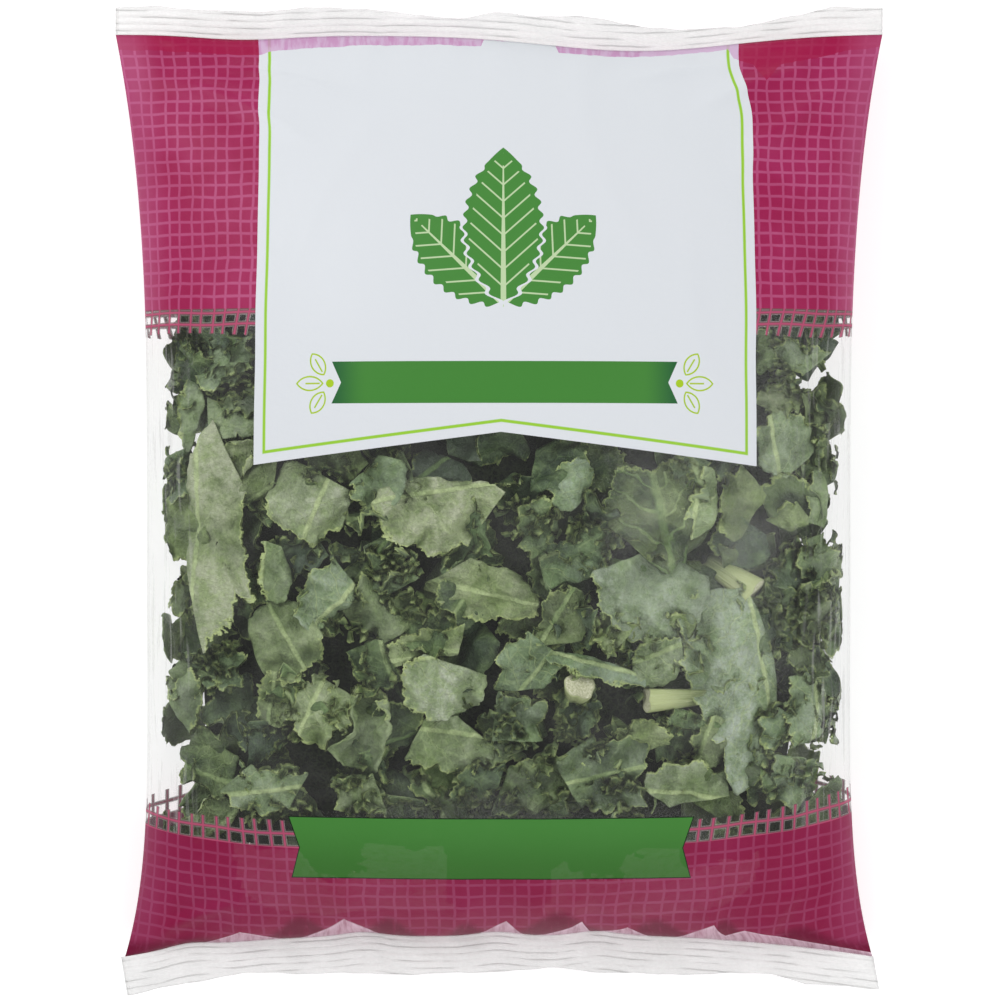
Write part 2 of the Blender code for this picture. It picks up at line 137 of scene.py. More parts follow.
def front_height(x, s):
    return middle_height(x, s) + FRONT_RISE * fullness(s) * bulge(x, s)


def groove(x, s):
    """The shallow groove that the fin lies in."""
    beside = ease((GROOVE_HALF - np.abs(x)) / GROOVE_SIDE)
    return GROOVE_DEEP * beside * ease((1 - np.abs(s)) / 0.04)


def back_height(x, s):
    raw = middle_height(x, s) - BACK_DROP * fullness(s) * bulge(x, s)
    lifted = np.where(raw > 0, raw * raw / (np.abs(raw) + FLOOR_BLEND), 0.0)
    return lifted + groove(x, s)


print("height of the front in the middle:", round(float(front_height(0.0, np.float64(0.0))), 1), "mm")

# %% [markdown]
# ## Creases
#
# Film has no stretch, so where a full bag narrows to a flat seal the spare film gathers into
# pleats, and the corners throw off long slanting creases. We add them as a height field on the
# front: waves that start at the crimp and die out into the bag, and some ridges, each along a
# line. They point outwards in the window, where leaves lie close under the film.

# %% Crease formulas
# Ridges: x and y of the middle, angle in degrees, half length, half width and height
CREASES = (
    (-86, 132, -24, 30, 3.4, 2.2),
    (-70, 141, -12, 24, 2.4, 1.8),
    (97, 126, 38, 26, 3.6, 2.4),
    (84, 138, 22, 22, 2.6, 1.6),
    (60, 143, 8, 18, 2.2, 1.4),
    (-101, -138, 24, 15, 2.0, 2.0),
    (-86, -138, 84, 13, 2.6, 2.2),
    (-50, -138, 100, 14, 4.6, 2.6),
    (-14, -139, 70, 11, 2.4, 1.6),
    (12, -138, 96, 13, 3.0, 2.2),
    (24, -138, 74, 12, 2.6, 2.2),
    (38, -139, 110, 12, 2.8, 2.0),
    (70, -138, 92, 13, 2.8, 2.4),
    (92, -137, 60, 14, 3.2, 2.2),
    (103, -78, 68, 34, 2.6, 1.6),
    (109, 4, 86, 30, 2.0, 0.9),
    (-107, -20, 92, 34, 2.2, 0.9),
    (-58, 96, 64, 40, 4.0, 0.7),
    (34, 104, 112, 42, 4.6, 0.7),
    (62, 60, 98, 30, 3.2, 0.6),
)
# Pleats of each end: how far they run into the bag, and their height
TOP_RUN, TOP_RISE = 13, 0.55
LOW_RUN, LOW_RISE = 15, 0.85


def ridges(x, y):
    """The height of all the single creases."""
    height = np.zeros_like(x)
    for x0, y0, angle, length, width, rise in CREASES:
        turn = math.radians(angle)
        run = (x - x0) * math.cos(turn) + (y - y0) * math.sin(turn)
        off = (y - y0) * math.cos(turn) - (x - x0) * math.sin(turn) + 0.004 * run**2
        height += rise * np.exp(-((off / width) ** 2)) * ease(1.3 - np.abs(run) / length)
    return height


def gathers(x, y):
    """Pleats that fan out of both crimps."""
    top = crimp_line(x, 1) - y
    low = y - crimp_line(x, -1)
    fan = x * (1 + 0.003 * top)
    upper = np.sin(fan / 4.1 + 0.8) + 0.7 * np.sin(fan / 2.5 + 2.0 + 0.02 * x)
    upper = upper * np.exp(-top / TOP_RUN) * ease(top / 4)
    fan = x * (1 + 0.004 * low)
    lower = np.sin(fan / 6.3 + 2.6) + 0.6 * np.sin(fan / 2.9 + 0.4 + 0.03 * x)
    lower = lower * np.exp(-low / LOW_RUN) * ease(low / 4)
    return TOP_RISE * upper + LOW_RISE * lower


def slack(x, y):
    """Long soft swells of film with no tension, strongest near the side folds."""
    swell = np.sin(x / 17 + 0.5 * np.sin(y / 23)) * np.sin(y / 21 + 1.1)
    side = ease((np.abs(x) - 70) / 45)
    wobble = np.sin(y / 8.5 + 0.4 * np.sin(y / 31)) + 0.6 * np.sin(y / 4.9 + 1.7)
    return 0.35 * swell + 0.5 * side * wobble


def front_film(x, s):
    """Height of the creased front film. The relief dies out at the folds and the crimps."""
    y = along(x, s)
    reach = np.clip(np.abs(x) / half_width(s), 0, 1)
    fade = ease((1 - reach) / 0.12) * ease((1 - np.abs(s)) / 0.03)
    return front_height(x, s) + fade * (ridges(x, y) + gathers(x, y) + slack(x, y))


def back_film(x, s):
    """Height of the back film, pleated at its ends and flat where it rests."""
    y = along(x, s)
    lift = ease((back_height(x, s) - groove(x, s)) / 3)
    fade = ease((np.abs(x) - 12) / 8) * ease((1 - np.abs(s)) / 0.03)
    reach = np.clip(np.abs(x) / half_width(s), 0, 1)
    fade = fade * ease((1 - reach) / 0.12)
    return back_height(x, s) - lift * fade * gathers(x + 3, y) * 0.8


print("creases:", len(CREASES), "single ones, and pleats at both ends")

# %% [markdown]
# ## The film as a mesh
#
# Two grids, one for the front and one for the back, are bent to the formulas and merged along the
# side folds and the crimps, so the bag is one closed skin. Their rows crowd towards the ends,
# where the pleats are. The UV map "flat" holds each point's place on the film laid flat, in
# millimetres: the print is drawn on it, and so it follows every crease, as ink does.

# %% Film mesh
FILM_COLUMNS, FILM_ROWS = 128, 156


def film_place(a, b, front):
    """Points in mm of one face of the bag, for a grid's own -1..1 coordinates."""
    s = b * (1.22 - 0.22 * b * b)
    share = np.sin(a * math.pi / 2)
    x = share * half_width(s)
    edge = np.abs(share) > 0.99999
    z = front_film(x, s) if front else back_film(x, s)
    z = np.where(edge | (np.abs(b) > 0.99999), middle_height(x, s), z)
    return np.stack([x, along(x, s), z], axis=-1)


def arc_lengths(front):
    """Each row's distance along the film from its middle, scaled to the flat half width."""
    a = np.linspace(-1, 1, FILM_COLUMNS + 1)[None, :]
    b = np.linspace(-1, 1, FILM_ROWS + 1)[:, None]
    places = film_place(a + 0 * b, b + 0 * a, front)
    step = np.linalg.norm(np.diff(places[..., [0, 2]], axis=1), axis=2)
    run = np.concatenate([np.zeros((FILM_ROWS + 1, 1)), np.cumsum(step, axis=1)], axis=1)
    run -= run[:, [FILM_COLUMNS // 2]]
    return run / np.abs(run[:, [0]]) * TOP_HALF


def film_sheet(bm, flat_map, front):
    """One face of the bag, with its flat coordinates. The back counts on past the side folds."""
    made = bmesh.ops.create_grid(bm, x_segments=FILM_COLUMNS, y_segments=FILM_ROWS, size=1.0)
    verts = made["verts"]
    grid = np.array([vert.co[:2] for vert in verts])
    places = film_place(grid[:, 0], grid[:, 1], front)
    lengths = arc_lengths(front)
    column = np.rint((grid[:, 0] + 1) / 2 * FILM_COLUMNS).astype(int)
    row = np.rint((grid[:, 1] + 1) / 2 * FILM_ROWS).astype(int)
    flat_u = {}
    for vert, place, i, j in zip(verts, places, column, row):
        flat_u[vert] = lengths[j, i]
        vert.co = place * MM
    for face in {face for vert in verts for face in vert.link_faces}:
        side = 1 if sum(flat_u[vert] for vert in face.verts) > 0 else -1
        for loop in face.loops:
            u = flat_u[loop.vert]
            loop[flat_map].uv = (u if front else side * 2 * TOP_HALF - u, loop.vert.co.y / MM)
        if not front:
            face.normal_flip()


def write_flat(bm, flat_map, flat):
    """Gives each corner of each face the flat place of its vertex."""
    for face in bm.faces:
        for loop in face.loops:
            loop[flat_map].uv = flat[loop.vert]


def finished(name, bm, materials, smooth=True):
    """A scene object from a bmesh."""
    mesh = bpy.data.meshes.new(name)
    bm.to_mesh(mesh)
    bm.free()
    if smooth:
        mesh.shade_smooth()
    obj = bpy.data.objects.new(name, mesh)
    bpy.context.scene.collection.objects.link(obj)
    for item in materials:
        obj.data.materials.append(item)
    return obj


# %% [markdown]
# ## Node helpers
#
# A shader is easier to read when each step of its arithmetic is one short call. Most of these
# helpers add one node, and they take plain numbers or the outputs of other nodes.

# %% Node helpers


def link_or_set(tree, socket, value):
    if isinstance(value, bpy.types.NodeSocket):
        tree.links.new(value, socket)
    else:
        socket.default_value = value


def calc(tree, operation, *values):
    node = tree.nodes.new("ShaderNodeMath")
    node.operation = operation
    for socket, value in zip(node.inputs, values):
        link_or_set(tree, socket, value)
    return node.outputs[0]


def both(tree, *masks):
    """The product of masks: 1 where all of them are 1."""
    found = masks[0]
    for mask in masks[1:]:
        found = calc(tree, "MULTIPLY", found, mask)
    return found


def either(tree, *masks):
    found = masks[0]
    for mask in masks[1:]:
        found = calc(tree, "MAXIMUM", found, mask)
    return found


def within(tree, value, low, high):
    """1 where low < value < high."""
    over = calc(tree, "GREATER_THAN", value, low)
    return both(tree, over, calc(tree, "LESS_THAN", value, high))


def ramp(tree, value, low, high, start=0.0, end=1.0):
    node = tree.nodes.new("ShaderNodeMapRange")
    node.interpolation_type = "SMOOTHSTEP"
    for socket, item in zip(node.inputs, (value, low, high, start, end)):
        link_or_set(tree, socket, item)
    return node.outputs[0]


def blend(tree, share, first, second, how="MIX"):
    """Two colours mixed by a share."""
    node = tree.nodes.new("ShaderNodeMix")
    node.data_type = "RGBA"
    node.blend_type = how
    link_or_set(tree, node.inputs["Factor"], share)
    for socket, value in ((node.inputs[6], first), (node.inputs[7], second)):
        link_or_set(tree, socket, value if isinstance(value, bpy.types.NodeSocket) else (*value, 1))
    return node.outputs[2]


# %% [markdown]
# Two textures give all the patterns that aren't drawn: soft noise, and the edges of random cells.
# Both are laid on coordinates that split and join take apart and put together.

# %% Pattern helpers


def noise(tree, vector, scale, detail=2.0, rough=0.5):
    node = tree.nodes.new("ShaderNodeTexNoise")
    tree.links.new(vector, node.inputs["Vector"])
    node.inputs["Scale"].default_value = scale
    node.inputs["Detail"].default_value = detail
    node.inputs["Roughness"].default_value = rough
    return node.outputs["Fac"]


def cells(tree, vector, scale):
    """The distance to the nearest edge of random cells."""
    node = tree.nodes.new("ShaderNodeTexVoronoi")
    node.feature = "DISTANCE_TO_EDGE"
    tree.links.new(vector, node.inputs["Vector"])
    node.inputs["Scale"].default_value = scale
    return node.outputs["Distance"]


def split(tree, vector):
    node = tree.nodes.new("ShaderNodeSeparateXYZ")
    tree.links.new(vector, node.inputs[0])
    return node.outputs


def join(tree, x, y, z=0.0):
    node = tree.nodes.new("ShaderNodeCombineXYZ")
    for socket, value in zip(node.inputs, (x, y, z)):
        link_or_set(tree, socket, value)
    return node.outputs[0]


# %% [markdown]
# A node group is a small shader machine with named inputs and outputs, which any material can
# hold. These helpers make one, place one, and start a material.

# %% Group and material helpers


def new_group(name, inputs, outputs):
    """A node group with its two end nodes. Inputs and outputs are (name, socket type)."""
    group = bpy.data.node_groups.new(name, "ShaderNodeTree")
    for label, kind in inputs:
        group.interface.new_socket(label, in_out="INPUT", socket_type=kind)
    for label, kind in outputs:
        group.interface.new_socket(label, in_out="OUTPUT", socket_type=kind)
    start = group.nodes.new("NodeGroupInput")
    end = group.nodes.new("NodeGroupOutput")
    return group, start, end


def use_group(tree, group, **values):
    node = tree.nodes.new("ShaderNodeGroup")
    node.node_tree = group
    for label, value in values.items():
        link_or_set(tree, node.inputs[label], value)
    return node.outputs


def new_material(name, roughness, **fixed):
    """A material and its Principled node, with values that are the same all over it."""
    made = bpy.data.materials.new(name)
    made.use_nodes = True
    shader = made.node_tree.nodes["Principled BSDF"]
    shader.inputs["Roughness"].default_value = roughness
    for label, value in fixed.items():
        shader.inputs[label.replace("_", " ")].default_value = value
    return made, shader


def bumped(tree, shader, height, distance, strength=1.0):
    node = tree.nodes.new("ShaderNodeBump")
    node.inputs["Distance"].default_value = distance
    node.inputs["Strength"].default_value = strength
    tree.links.new(height, node.inputs["Height"])
    tree.links.new(node.outputs[0], shader.inputs["Normal"])


# %% [markdown]
# The print follows some lines of the bag, so these two helpers write a curve as nodes: one from
# straight pieces, and one from bell curves, as the crimp lines have them.

# %% Curve helpers


def broken_line(tree, value, points):
    """The height at value of a line through points (x, height), level beyond its ends."""
    total = points[0][1]
    for (x0, low), (x1, high) in zip(points, points[1:]):
        node = tree.nodes.new("ShaderNodeMapRange")
        for socket, item in zip(node.inputs, (value, x0, x1, 0.0, high - low)):
            link_or_set(tree, socket, item)
        total = calc(tree, "ADD", total, node.outputs[0])
    return total


def bells_node(tree, value, table):
    """The sum of a table's bell curves, as bells has it."""
    total = 0.0
    for x0, width, height in table:
        off = calc(tree, "DIVIDE", calc(tree, "SUBTRACT", value, x0), width)
        power = calc(tree, "MULTIPLY", calc(tree, "MULTIPLY", off, off), -1.0)
        total = calc(tree, "MULTIPLY_ADD", calc(tree, "EXPONENT", power), height, total)
    return total


def attribute(tree, name):
    node = tree.nodes.new("ShaderNodeAttribute")
    node.attribute_name = name
    return node.outputs["Vector"]


# %% [markdown]
# ## The print
#
# The film is printed in a few flat inks: a magenta gingham band at each end that frays into loose
# threads over the window, a white label panel with a thin keyline, and two green ribbons. We
# build the print as one node group, from the flat coordinates, so that it stays sharp at any
# distance. It gives out a colour, how much ink covers the film, and where the label is.

# %% Print sizes
BAND_TOP, BAND_BOTTOM = 61.3, -112.6
# Both edges curl up at the sides, and the lower one tilts a little
TOP_CURL, LOW_CURL, LOW_TILT = 0.9, 5.4, 0.016
CHECK_TOP, CHECK_LOW, CHECK_TALL = 4.55, 5.05, 4.1
CHECK_LINE, CHECK_SWAY = 0.9, 0.25
THREAD_LINE, THREAD_RIM = 0.62, 0.9
# Fringes, from a band's edge: both cross threads, the end of the tails, their lean and spacing
TOP_FRINGE = (1.3, 5.1, 8.2, 0.2, CHECK_TOP)
LOW_FRINGE = (0.0, 4.7, 8.2, 0.0, CHECK_LOW)
LABEL_HALF, LABEL_CORNER, LABEL_PEAK = 82.7, 11.0, 21.5
# The label is drawn aside and narrows towards the flat film at the top seal, between two v
LABEL_SHIFT, LABEL_TAPER, LABEL_FULL, LABEL_FLAT = 2.45, 2.1, 125.0, 150.0
PEAK_MIDDLE, EMBLEM_MIDDLE, EMBLEM_FOOT = 0.8, 1.5, 62.0
# The v that parts what belongs to the top band from what belongs to the lower one
PARTING = -30.0
KEY_INSET, KEY_LINE = 3.6, 1.0
RIBBON_MIDDLE, RIBBON_HALF, RIBBON_LOW, RIBBON_HIGH = 2.0, 55.8, 30.6, 43.9
LOWER_MIDDLE, LOWER_HALF, LOWER_LOW, LOWER_HIGH = -2.6, 66.8, -122.6, -102.1
NOTCH = 3.1
# How deep the film is gathered under the top seal: u and depth
TOP_GATHER = (
    (-128, 5.4),
    (-80, 6.0),
    (-77, 5.0),
    (-6, 2.9),
    (-5, 0.0),
    (19, 0.0),
    (20, 2.7),
    (48, 2.4),
    (77, 1.8),
    (79, 6.0),
    (86, 9.0),
    (90, 15.0),
    (95, 9.5),
    (107, 8.0),
    (119, 5.0),
    (128, 4.4),
)
# Painted highlights on the pale pleats over the bottom seal: u of the peak, reach to its left and right,
# and height
PLEAT_HIGHLIGHT_PEAKS = (
    (-89, 5, 10, 2.6),
    (-52.5, 14, 11, 7.4),
    (2.5, 9, 6, 6.0),
    (29, 16, 2.5, 5.6),
    (45, 10, 6, 4.0),
    (74.5, 12, 4.5, 5.8),
    (86, 11, 15, 3.0),
)
# Painted shade in the dark folds beside them: u, half width and height
FOLD_SHADE_BELLS = ((-68, 9, 10), (-37, 8, 9), (-11, 6, 8), (20, 12, 12), (55, 9, 9), (79, 6, 9), (106, 9, 6))

MAGENTA, MAGENTA_LIGHT = (0.35, 0.013, 0.082), (0.39, 0.022, 0.11)
PINK, PAINTED_SHEEN_PINK = (0.50, 0.092, 0.225), (0.60, 0.16, 0.34)
DEEP, FOLD_SHADE, PLEAT_HIGHLIGHT = (0.19, 0.004, 0.035), (0.17, 0.004, 0.035), (0.78, 0.54, 0.65)
GATHERED = (0.38, 0.006, 0.065)
THREAD, THREAD_OUTLINE_AND_GAP_SHADE = (0.50, 0.075, 0.17), (0.15, 0.010, 0.03)
LABEL_WHITE = (0.76, 0.79, 0.83)
MAUVE, PALE_MAUVE = (0.58, 0.24, 0.50), (0.66, 0.42, 0.64)
KEY_GREEN, SPRIG_GREEN = (0.33, 0.63, 0.045), (0.41, 0.62, 0.02)
RIBBON_GREEN, LOWER_GREEN = (0.062, 0.245, 0.042), (0.043, 0.175, 0.026)
RIBBON_SHADE, RIBBON_LINE = (0.02, 0.12, 0.04), (0.01, 0.02, 0.01)
LEAF_INK, LEAF_VEIN = (0.07, 0.26, 0.05), (0.55, 0.70, 0.42)


# %% [markdown]
# Checks, threads and keylines are all lines of a given width. Their edges are a little soft, as ink
# spreads on film.

# %% Line and ribbon masks


def soft_line(tree, off, width):
    """1 where off is well under half the width, with a soft edge."""
    return ramp(tree, off, width * 0.32, width * 0.68, 1.0, 0.0)


def line_at(tree, value, centre, width):
    """1 on a line of this width."""
    off = calc(tree, "ABSOLUTE", calc(tree, "SUBTRACT", value, centre))
    return soft_line(tree, off, width)


def repeat_lines(tree, value, spacing, width):
    """1 on lines at every multiple of the spacing."""
    off = calc(tree, "PINGPONG", value, calc(tree, "MULTIPLY", spacing, 0.5))
    return soft_line(tree, off, width)


def uneven(tree, u, spacing):
    """u bent so that its lines stand in uneven pairs, as drawn by hand."""
    turn = calc(tree, "DIVIDE", calc(tree, "MULTIPLY", u, math.pi), spacing)
    return calc(tree, "MULTIPLY_ADD", calc(tree, "COSINE", turn), CHECK_SWAY, u)


def away_from(tree, u, middle):
    return calc(tree, "ABSOLUTE", calc(tree, "SUBTRACT", u, middle))


def ribbon_mask(tree, across, v, half, low, high, grow=0.0):
    """A ribbon with a swallow-tail notch in each end. across is the distance from its middle."""
    middle, tall = (low + high) / 2, (high - low) / 2
    off = calc(tree, "DIVIDE", calc(tree, "ABSOLUTE", calc(tree, "SUBTRACT", v, middle)), tall)
    cut = calc(tree, "MULTIPLY", calc(tree, "SUBTRACT", 1.0, off), NOTCH)
    end = calc(tree, "SUBTRACT", half + grow, cut)
    inside = calc(tree, "LESS_THAN", across, end)
    return both(tree, inside, within(tree, v, low - grow, high + grow))


# %% [markdown]
# The label carries two small sprigs and a larger emblem of three leaves. Each leaf is a vesica,
# the lens shape where two circles overlap, which gives a pointed leaf from one distance.

# %% Leaf drawing group


def vesica_group():
    """Signed distance in mm to a pointed leaf that stands on the origin along +Y."""
    group, start, end = new_group(
        "leaf drawing",
        [("Place", "NodeSocketVector"), ("Length", "NodeSocketFloat"), ("Width", "NodeSocketFloat")],
        [("Distance", "NodeSocketFloat"), ("Across", "NodeSocketFloat"), ("Up", "NodeSocketFloat")],
    )
    x, y, _ = split(group, start.outputs["Place"])
    length, width = start.outputs["Length"], start.outputs["Width"]
    half = calc(group, "MULTIPLY", length, 0.5)
    waist = calc(group, "MULTIPLY", width, 0.5)
    square = calc(group, "MULTIPLY", half, half)
    radius = calc(group, "DIVIDE", calc(group, "ADD", calc(group, "DIVIDE", square, waist), waist), 2.0)
    shift = calc(group, "SUBTRACT", radius, waist)
    side = calc(group, "ADD", calc(group, "ABSOLUTE", x), shift)
    rise = calc(group, "SUBTRACT", y, half)
    reach = calc(group, "ADD", calc(group, "MULTIPLY", side, side), calc(group, "MULTIPLY", rise, rise))
    distance = calc(group, "SUBTRACT", calc(group, "SQRT", reach), radius)
    group.links.new(distance, end.inputs["Distance"])
    group.links.new(x, end.inputs["Across"])
    group.links.new(y, end.inputs["Up"])
    return group


LEAF_DRAWING = vesica_group()


def drawn_leaf(tree, across, v, foot, angle, length, width):
    """A leaf drawing's outputs, for a leaf on a foot (u, v) turned by an angle in degrees."""
    turn = math.radians(angle)
    du = calc(tree, "SUBTRACT", across, foot[0])
    dv = calc(tree, "SUBTRACT", v, foot[1])
    x = calc(
        tree,
        "ADD",
        calc(tree, "MULTIPLY", du, math.cos(turn)),
        calc(tree, "MULTIPLY", dv, math.sin(turn)),
    )
    y = calc(
        tree,
        "SUBTRACT",
        calc(tree, "MULTIPLY", dv, math.cos(turn)),
        calc(tree, "MULTIPLY", du, math.sin(turn)),
    )
    return use_group(tree, LEAF_DRAWING, Place=join(tree, x, y), Length=length, Width=width)


# The sprig's dot, and its leaves: angle, foot beside and above the dot, and length
SPRIG_MIDDLE, SPRIG_DOT, DOT_RADIUS = 2.05, (56.45, 37.0), 1.3
SPRIG_LEAVES = ((-90, 2.4, 0.0, 8.7), (-31, 2.05, 2.8, 7.7), (-149, 2.05, -2.8, 7.7))


def sprig_mask(tree, across, v):
    """Three outlined leaves and a dot beside the ribbon's end."""
    dot_u, dot_v = SPRIG_DOT
    parts = []
    for angle, aside, above, length in SPRIG_LEAVES:
        foot = (dot_u + aside, dot_v + above)
        leaf = drawn_leaf(tree, across, v, foot, angle, length, 4.4)
        parts.append(calc(tree, "LESS_THAN", calc(tree, "ABSOLUTE", leaf["Distance"]), 0.25))
        vein = both(tree, line_at(tree, leaf["Across"], 0.0, 0.5), within(tree, leaf["Up"], 1.0, 5.8))
        parts.append(vein)
    du = calc(tree, "SUBTRACT", across, dot_u)
    dv = calc(tree, "SUBTRACT", v, dot_v)
    reach = calc(tree, "ADD", calc(tree, "MULTIPLY", du, du), calc(tree, "MULTIPLY", dv, dv))
    parts.append(calc(tree, "LESS_THAN", reach, DOT_RADIUS**2))
    return either(tree, *parts)


# The emblem's leaves: angle, length and width
EMBLEM_LEAVES = ((0, 52, 25), (46, 42, 20), (-46, 42, 20))


def emblem_masks(tree, u, v):
    """Three broad leaves on one foot, the middle one in front: (leaf, vein)."""
    leaves, veins = [], []
    behind = 1.0
    for angle, length, width in EMBLEM_LEAVES:
        leaf = drawn_leaf(tree, u, v, (0.0, EMBLEM_FOOT), angle, length, width)
        along_leaf = leaf["Up"]
        curl = calc(tree, "SINE", calc(tree, "MULTIPLY", along_leaf, 1.45))
        swing = ramp(tree, along_leaf, length - 9, length - 4, 0.75, 0.0)
        edge = calc(tree, "MULTIPLY_ADD", curl, swing, leaf["Distance"])
        inside = both(tree, calc(tree, "LESS_THAN", edge, 0.0), behind)
        off = calc(tree, "ABSOLUTE", leaf["Across"])
        slant = calc(tree, "MULTIPLY_ADD", off, -0.9, along_leaf)
        rib = both(
            tree,
            calc(tree, "LESS_THAN", off, ramp(tree, along_leaf, 0.0, length, 0.9, 0.2)),
            calc(tree, "LESS_THAN", along_leaf, length * 0.88),
        )
        lines = both(tree, repeat_lines(tree, slant, 5.6, 0.7), calc(tree, "LESS_THAN", edge, -1.4))
        leaves.append(inside)
        veins.append(both(tree, inside, either(tree, rib, lines)))
        if angle == 0:
            behind = calc(tree, "GREATER_THAN", edge, 1.0)
    return either(tree, *leaves), either(tree, *veins)


# %% [markdown]
# The print is laid down as a printer would: first the bands and their threads, then the label with
# its drawings, and the ribbons last. Each step returns its colour and a mask of where it lies.

# %% Print group


def fringe_masks(tree, u, past, fringe):
    """Loose threads past a band's edge: (thread, dark outline and painted gap shade)."""
    first, second, tail_end, lean, check = fringe
    cell = calc(tree, "FLOOR", calc(tree, "DIVIDE", calc(tree, "ADD", u, check / 2), check))
    chance = calc(tree, "SINE", calc(tree, "MULTIPLY", cell, 12.9))
    lean = calc(tree, "MULTIPLY", calc(tree, "MULTIPLY_ADD", chance, 0.09, lean), past)
    u = calc(tree, "ADD", uneven(tree, u, check), calc(tree, "MULTIPLY_ADD", chance, 0.3, lean))
    tail = calc(tree, "MULTIPLY_ADD", chance, 0.7, tail_end)
    wave = calc(tree, "SINE", calc(tree, "MULTIPLY", u, 0.21))
    waved = calc(tree, "MULTIPLY_ADD", wave, 0.2, past)
    found = []
    for width in (THREAD_LINE, THREAD_LINE + THREAD_RIM):
        down = both(
            tree,
            repeat_lines(tree, u, check, width),
            calc(tree, "GREATER_THAN", past, 0.0),
            calc(tree, "LESS_THAN", past, calc(tree, "ADD", tail, width / 4)),
        )
        cross = either(tree, line_at(tree, waved, first, width), line_at(tree, waved, second, width))
        found.append(either(tree, down, cross))
    # Painted shade: a dark line just past the band's edge, for the shaded leaves seen in the gap there.
    dark = line_at(tree, past, 0.0, 0.9)
    return found[0], either(tree, found[1], dark)


def band_edges(tree, u, v):
    """How far a point is past the edge of each band: (into the top one, into the lower one)."""
    reach = calc(tree, "DIVIDE", calc(tree, "ABSOLUTE", u), 118.0)
    cube = both(tree, reach, reach, reach)
    tilted = calc(tree, "MULTIPLY_ADD", u, LOW_TILT, BAND_BOTTOM)
    below = calc(tree, "SUBTRACT", calc(tree, "MULTIPLY_ADD", cube, LOW_CURL, tilted), v)
    above = calc(tree, "SUBTRACT", v, calc(tree, "MULTIPLY_ADD", cube, TOP_CURL, BAND_TOP))
    return above, below


def band_print(tree, place, gather, fold_shade, pleat_highlight):
    """The gingham bands with their loose threads: (colour, ink)."""
    u, v, _ = split(tree, place)
    above, below = band_edges(tree, u, v)
    lower_half = calc(tree, "LESS_THAN", v, PARTING)
    wobble = calc(tree, "MULTIPLY_ADD", noise(tree, place, 0.07, 2.0), 2.4, -1.2)
    rows = calc(tree, "ADD", either(tree, below, above), calc(tree, "MULTIPLY", wobble, 0.6))
    spacing = calc(tree, "MULTIPLY_ADD", lower_half, CHECK_LOW - CHECK_TOP, CHECK_TOP)
    columns = calc(tree, "MULTIPLY_ADD", wobble, ramp(tree, rows, 0.0, 8.0), uneven(tree, u, spacing))
    lying = repeat_lines(tree, rows, CHECK_TALL, CHECK_LINE)
    check = either(
        tree,
        repeat_lines(tree, columns, spacing, CHECK_LINE),
        both(tree, lying, calc(tree, "GREATER_THAN", rows, 2.0)),
    )
    band = either(tree, calc(tree, "GREATER_THAN", above, 0.0), calc(tree, "GREATER_THAN", below, 0.0))
    mottle = ramp(tree, noise(tree, place, 0.05, 3.0), 0.35, 0.7)
    ink = blend(tree, mottle, MAGENTA, MAGENTA_LIGHT)
    colour = blend(tree, both(tree, check, ramp(tree, mottle, 0.0, 1.0, 0.7, 1.0)), ink, PINK)
    colour = blend(tree, gather, colour, GATHERED)
    # Painted sheen: the bands turn paler pink towards the side folds, as a highlight there.
    painted_sheen = ramp(tree, calc(tree, "ABSOLUTE", u), 112.0, 126.0, 0.0, 0.3)
    colour = blend(tree, painted_sheen, colour, PAINTED_SHEEN_PINK)
    colour = blend(tree, calc(tree, "MULTIPLY", lower_half, 0.5), colour, DEEP)
    colour = blend(tree, fold_shade, colour, FOLD_SHADE)
    colour = blend(tree, pleat_highlight, colour, PLEAT_HIGHLIGHT)
    threads, edges = zip(
        fringe_masks(tree, u, calc(tree, "MULTIPLY", above, -1.0), TOP_FRINGE),
        fringe_masks(tree, u, calc(tree, "MULTIPLY", below, -1.0), LOW_FRINGE),
    )
    outside = calc(tree, "SUBTRACT", 1.0, band)
    thread = both(tree, either(tree, *threads), outside)
    edge = both(tree, either(tree, *edges), outside)
    colour = blend(tree, edge, colour, THREAD_OUTLINE_AND_GAP_SHADE)
    colour = blend(tree, thread, colour, THREAD)
    return colour, either(tree, band, calc(tree, "MULTIPLY", edge, 0.9), thread)


def label_print(tree, u, v, gather):
    """The label panel: (colour, where it is)."""
    full = ramp(tree, v, LABEL_FULL, LABEL_FLAT, 1.0, 0.0)
    aside = calc(tree, "ABSOLUTE", calc(tree, "MULTIPLY_ADD", full, -LABEL_SHIFT, u))
    half = calc(tree, "MULTIPLY_ADD", full, LABEL_TAPER, LABEL_HALF - LABEL_TAPER)
    slope = (LABEL_CORNER - LABEL_PEAK) / LABEL_HALF
    foot = calc(tree, "MULTIPLY_ADD", away_from(tree, u, PEAK_MIDDLE), slope, LABEL_PEAK)
    over = calc(tree, "SUBTRACT", v, foot)
    inset = calc(tree, "SUBTRACT", half, aside)
    label = both(tree, calc(tree, "GREATER_THAN", over, 0.0), calc(tree, "GREATER_THAN", inset, 0.0))
    nearest = calc(tree, "MINIMUM", over, inset)
    key = both(tree, label, line_at(tree, nearest, KEY_INSET, KEY_LINE))
    streaks = noise(tree, join(tree, u, calc(tree, "MULTIPLY", v, 0.25)), 0.5, 3.0)
    mauve = blend(tree, ramp(tree, streaks, 0.4, 0.62), MAUVE, PALE_MAUVE)
    mauve = blend(tree, ramp(tree, u, 44.0, 60.0), mauve, PALE_MAUVE)
    leaf, vein = emblem_masks(tree, calc(tree, "SUBTRACT", u, EMBLEM_MIDDLE), v)
    panel = blend(tree, leaf, LABEL_WHITE, LEAF_INK)
    panel = blend(tree, vein, panel, LEAF_VEIN)
    panel = blend(tree, sprig_mask(tree, away_from(tree, u, SPRIG_MIDDLE), v), panel, SPRIG_GREEN)
    panel = blend(tree, key, panel, KEY_GREEN)
    return blend(tree, gather, panel, mauve), label


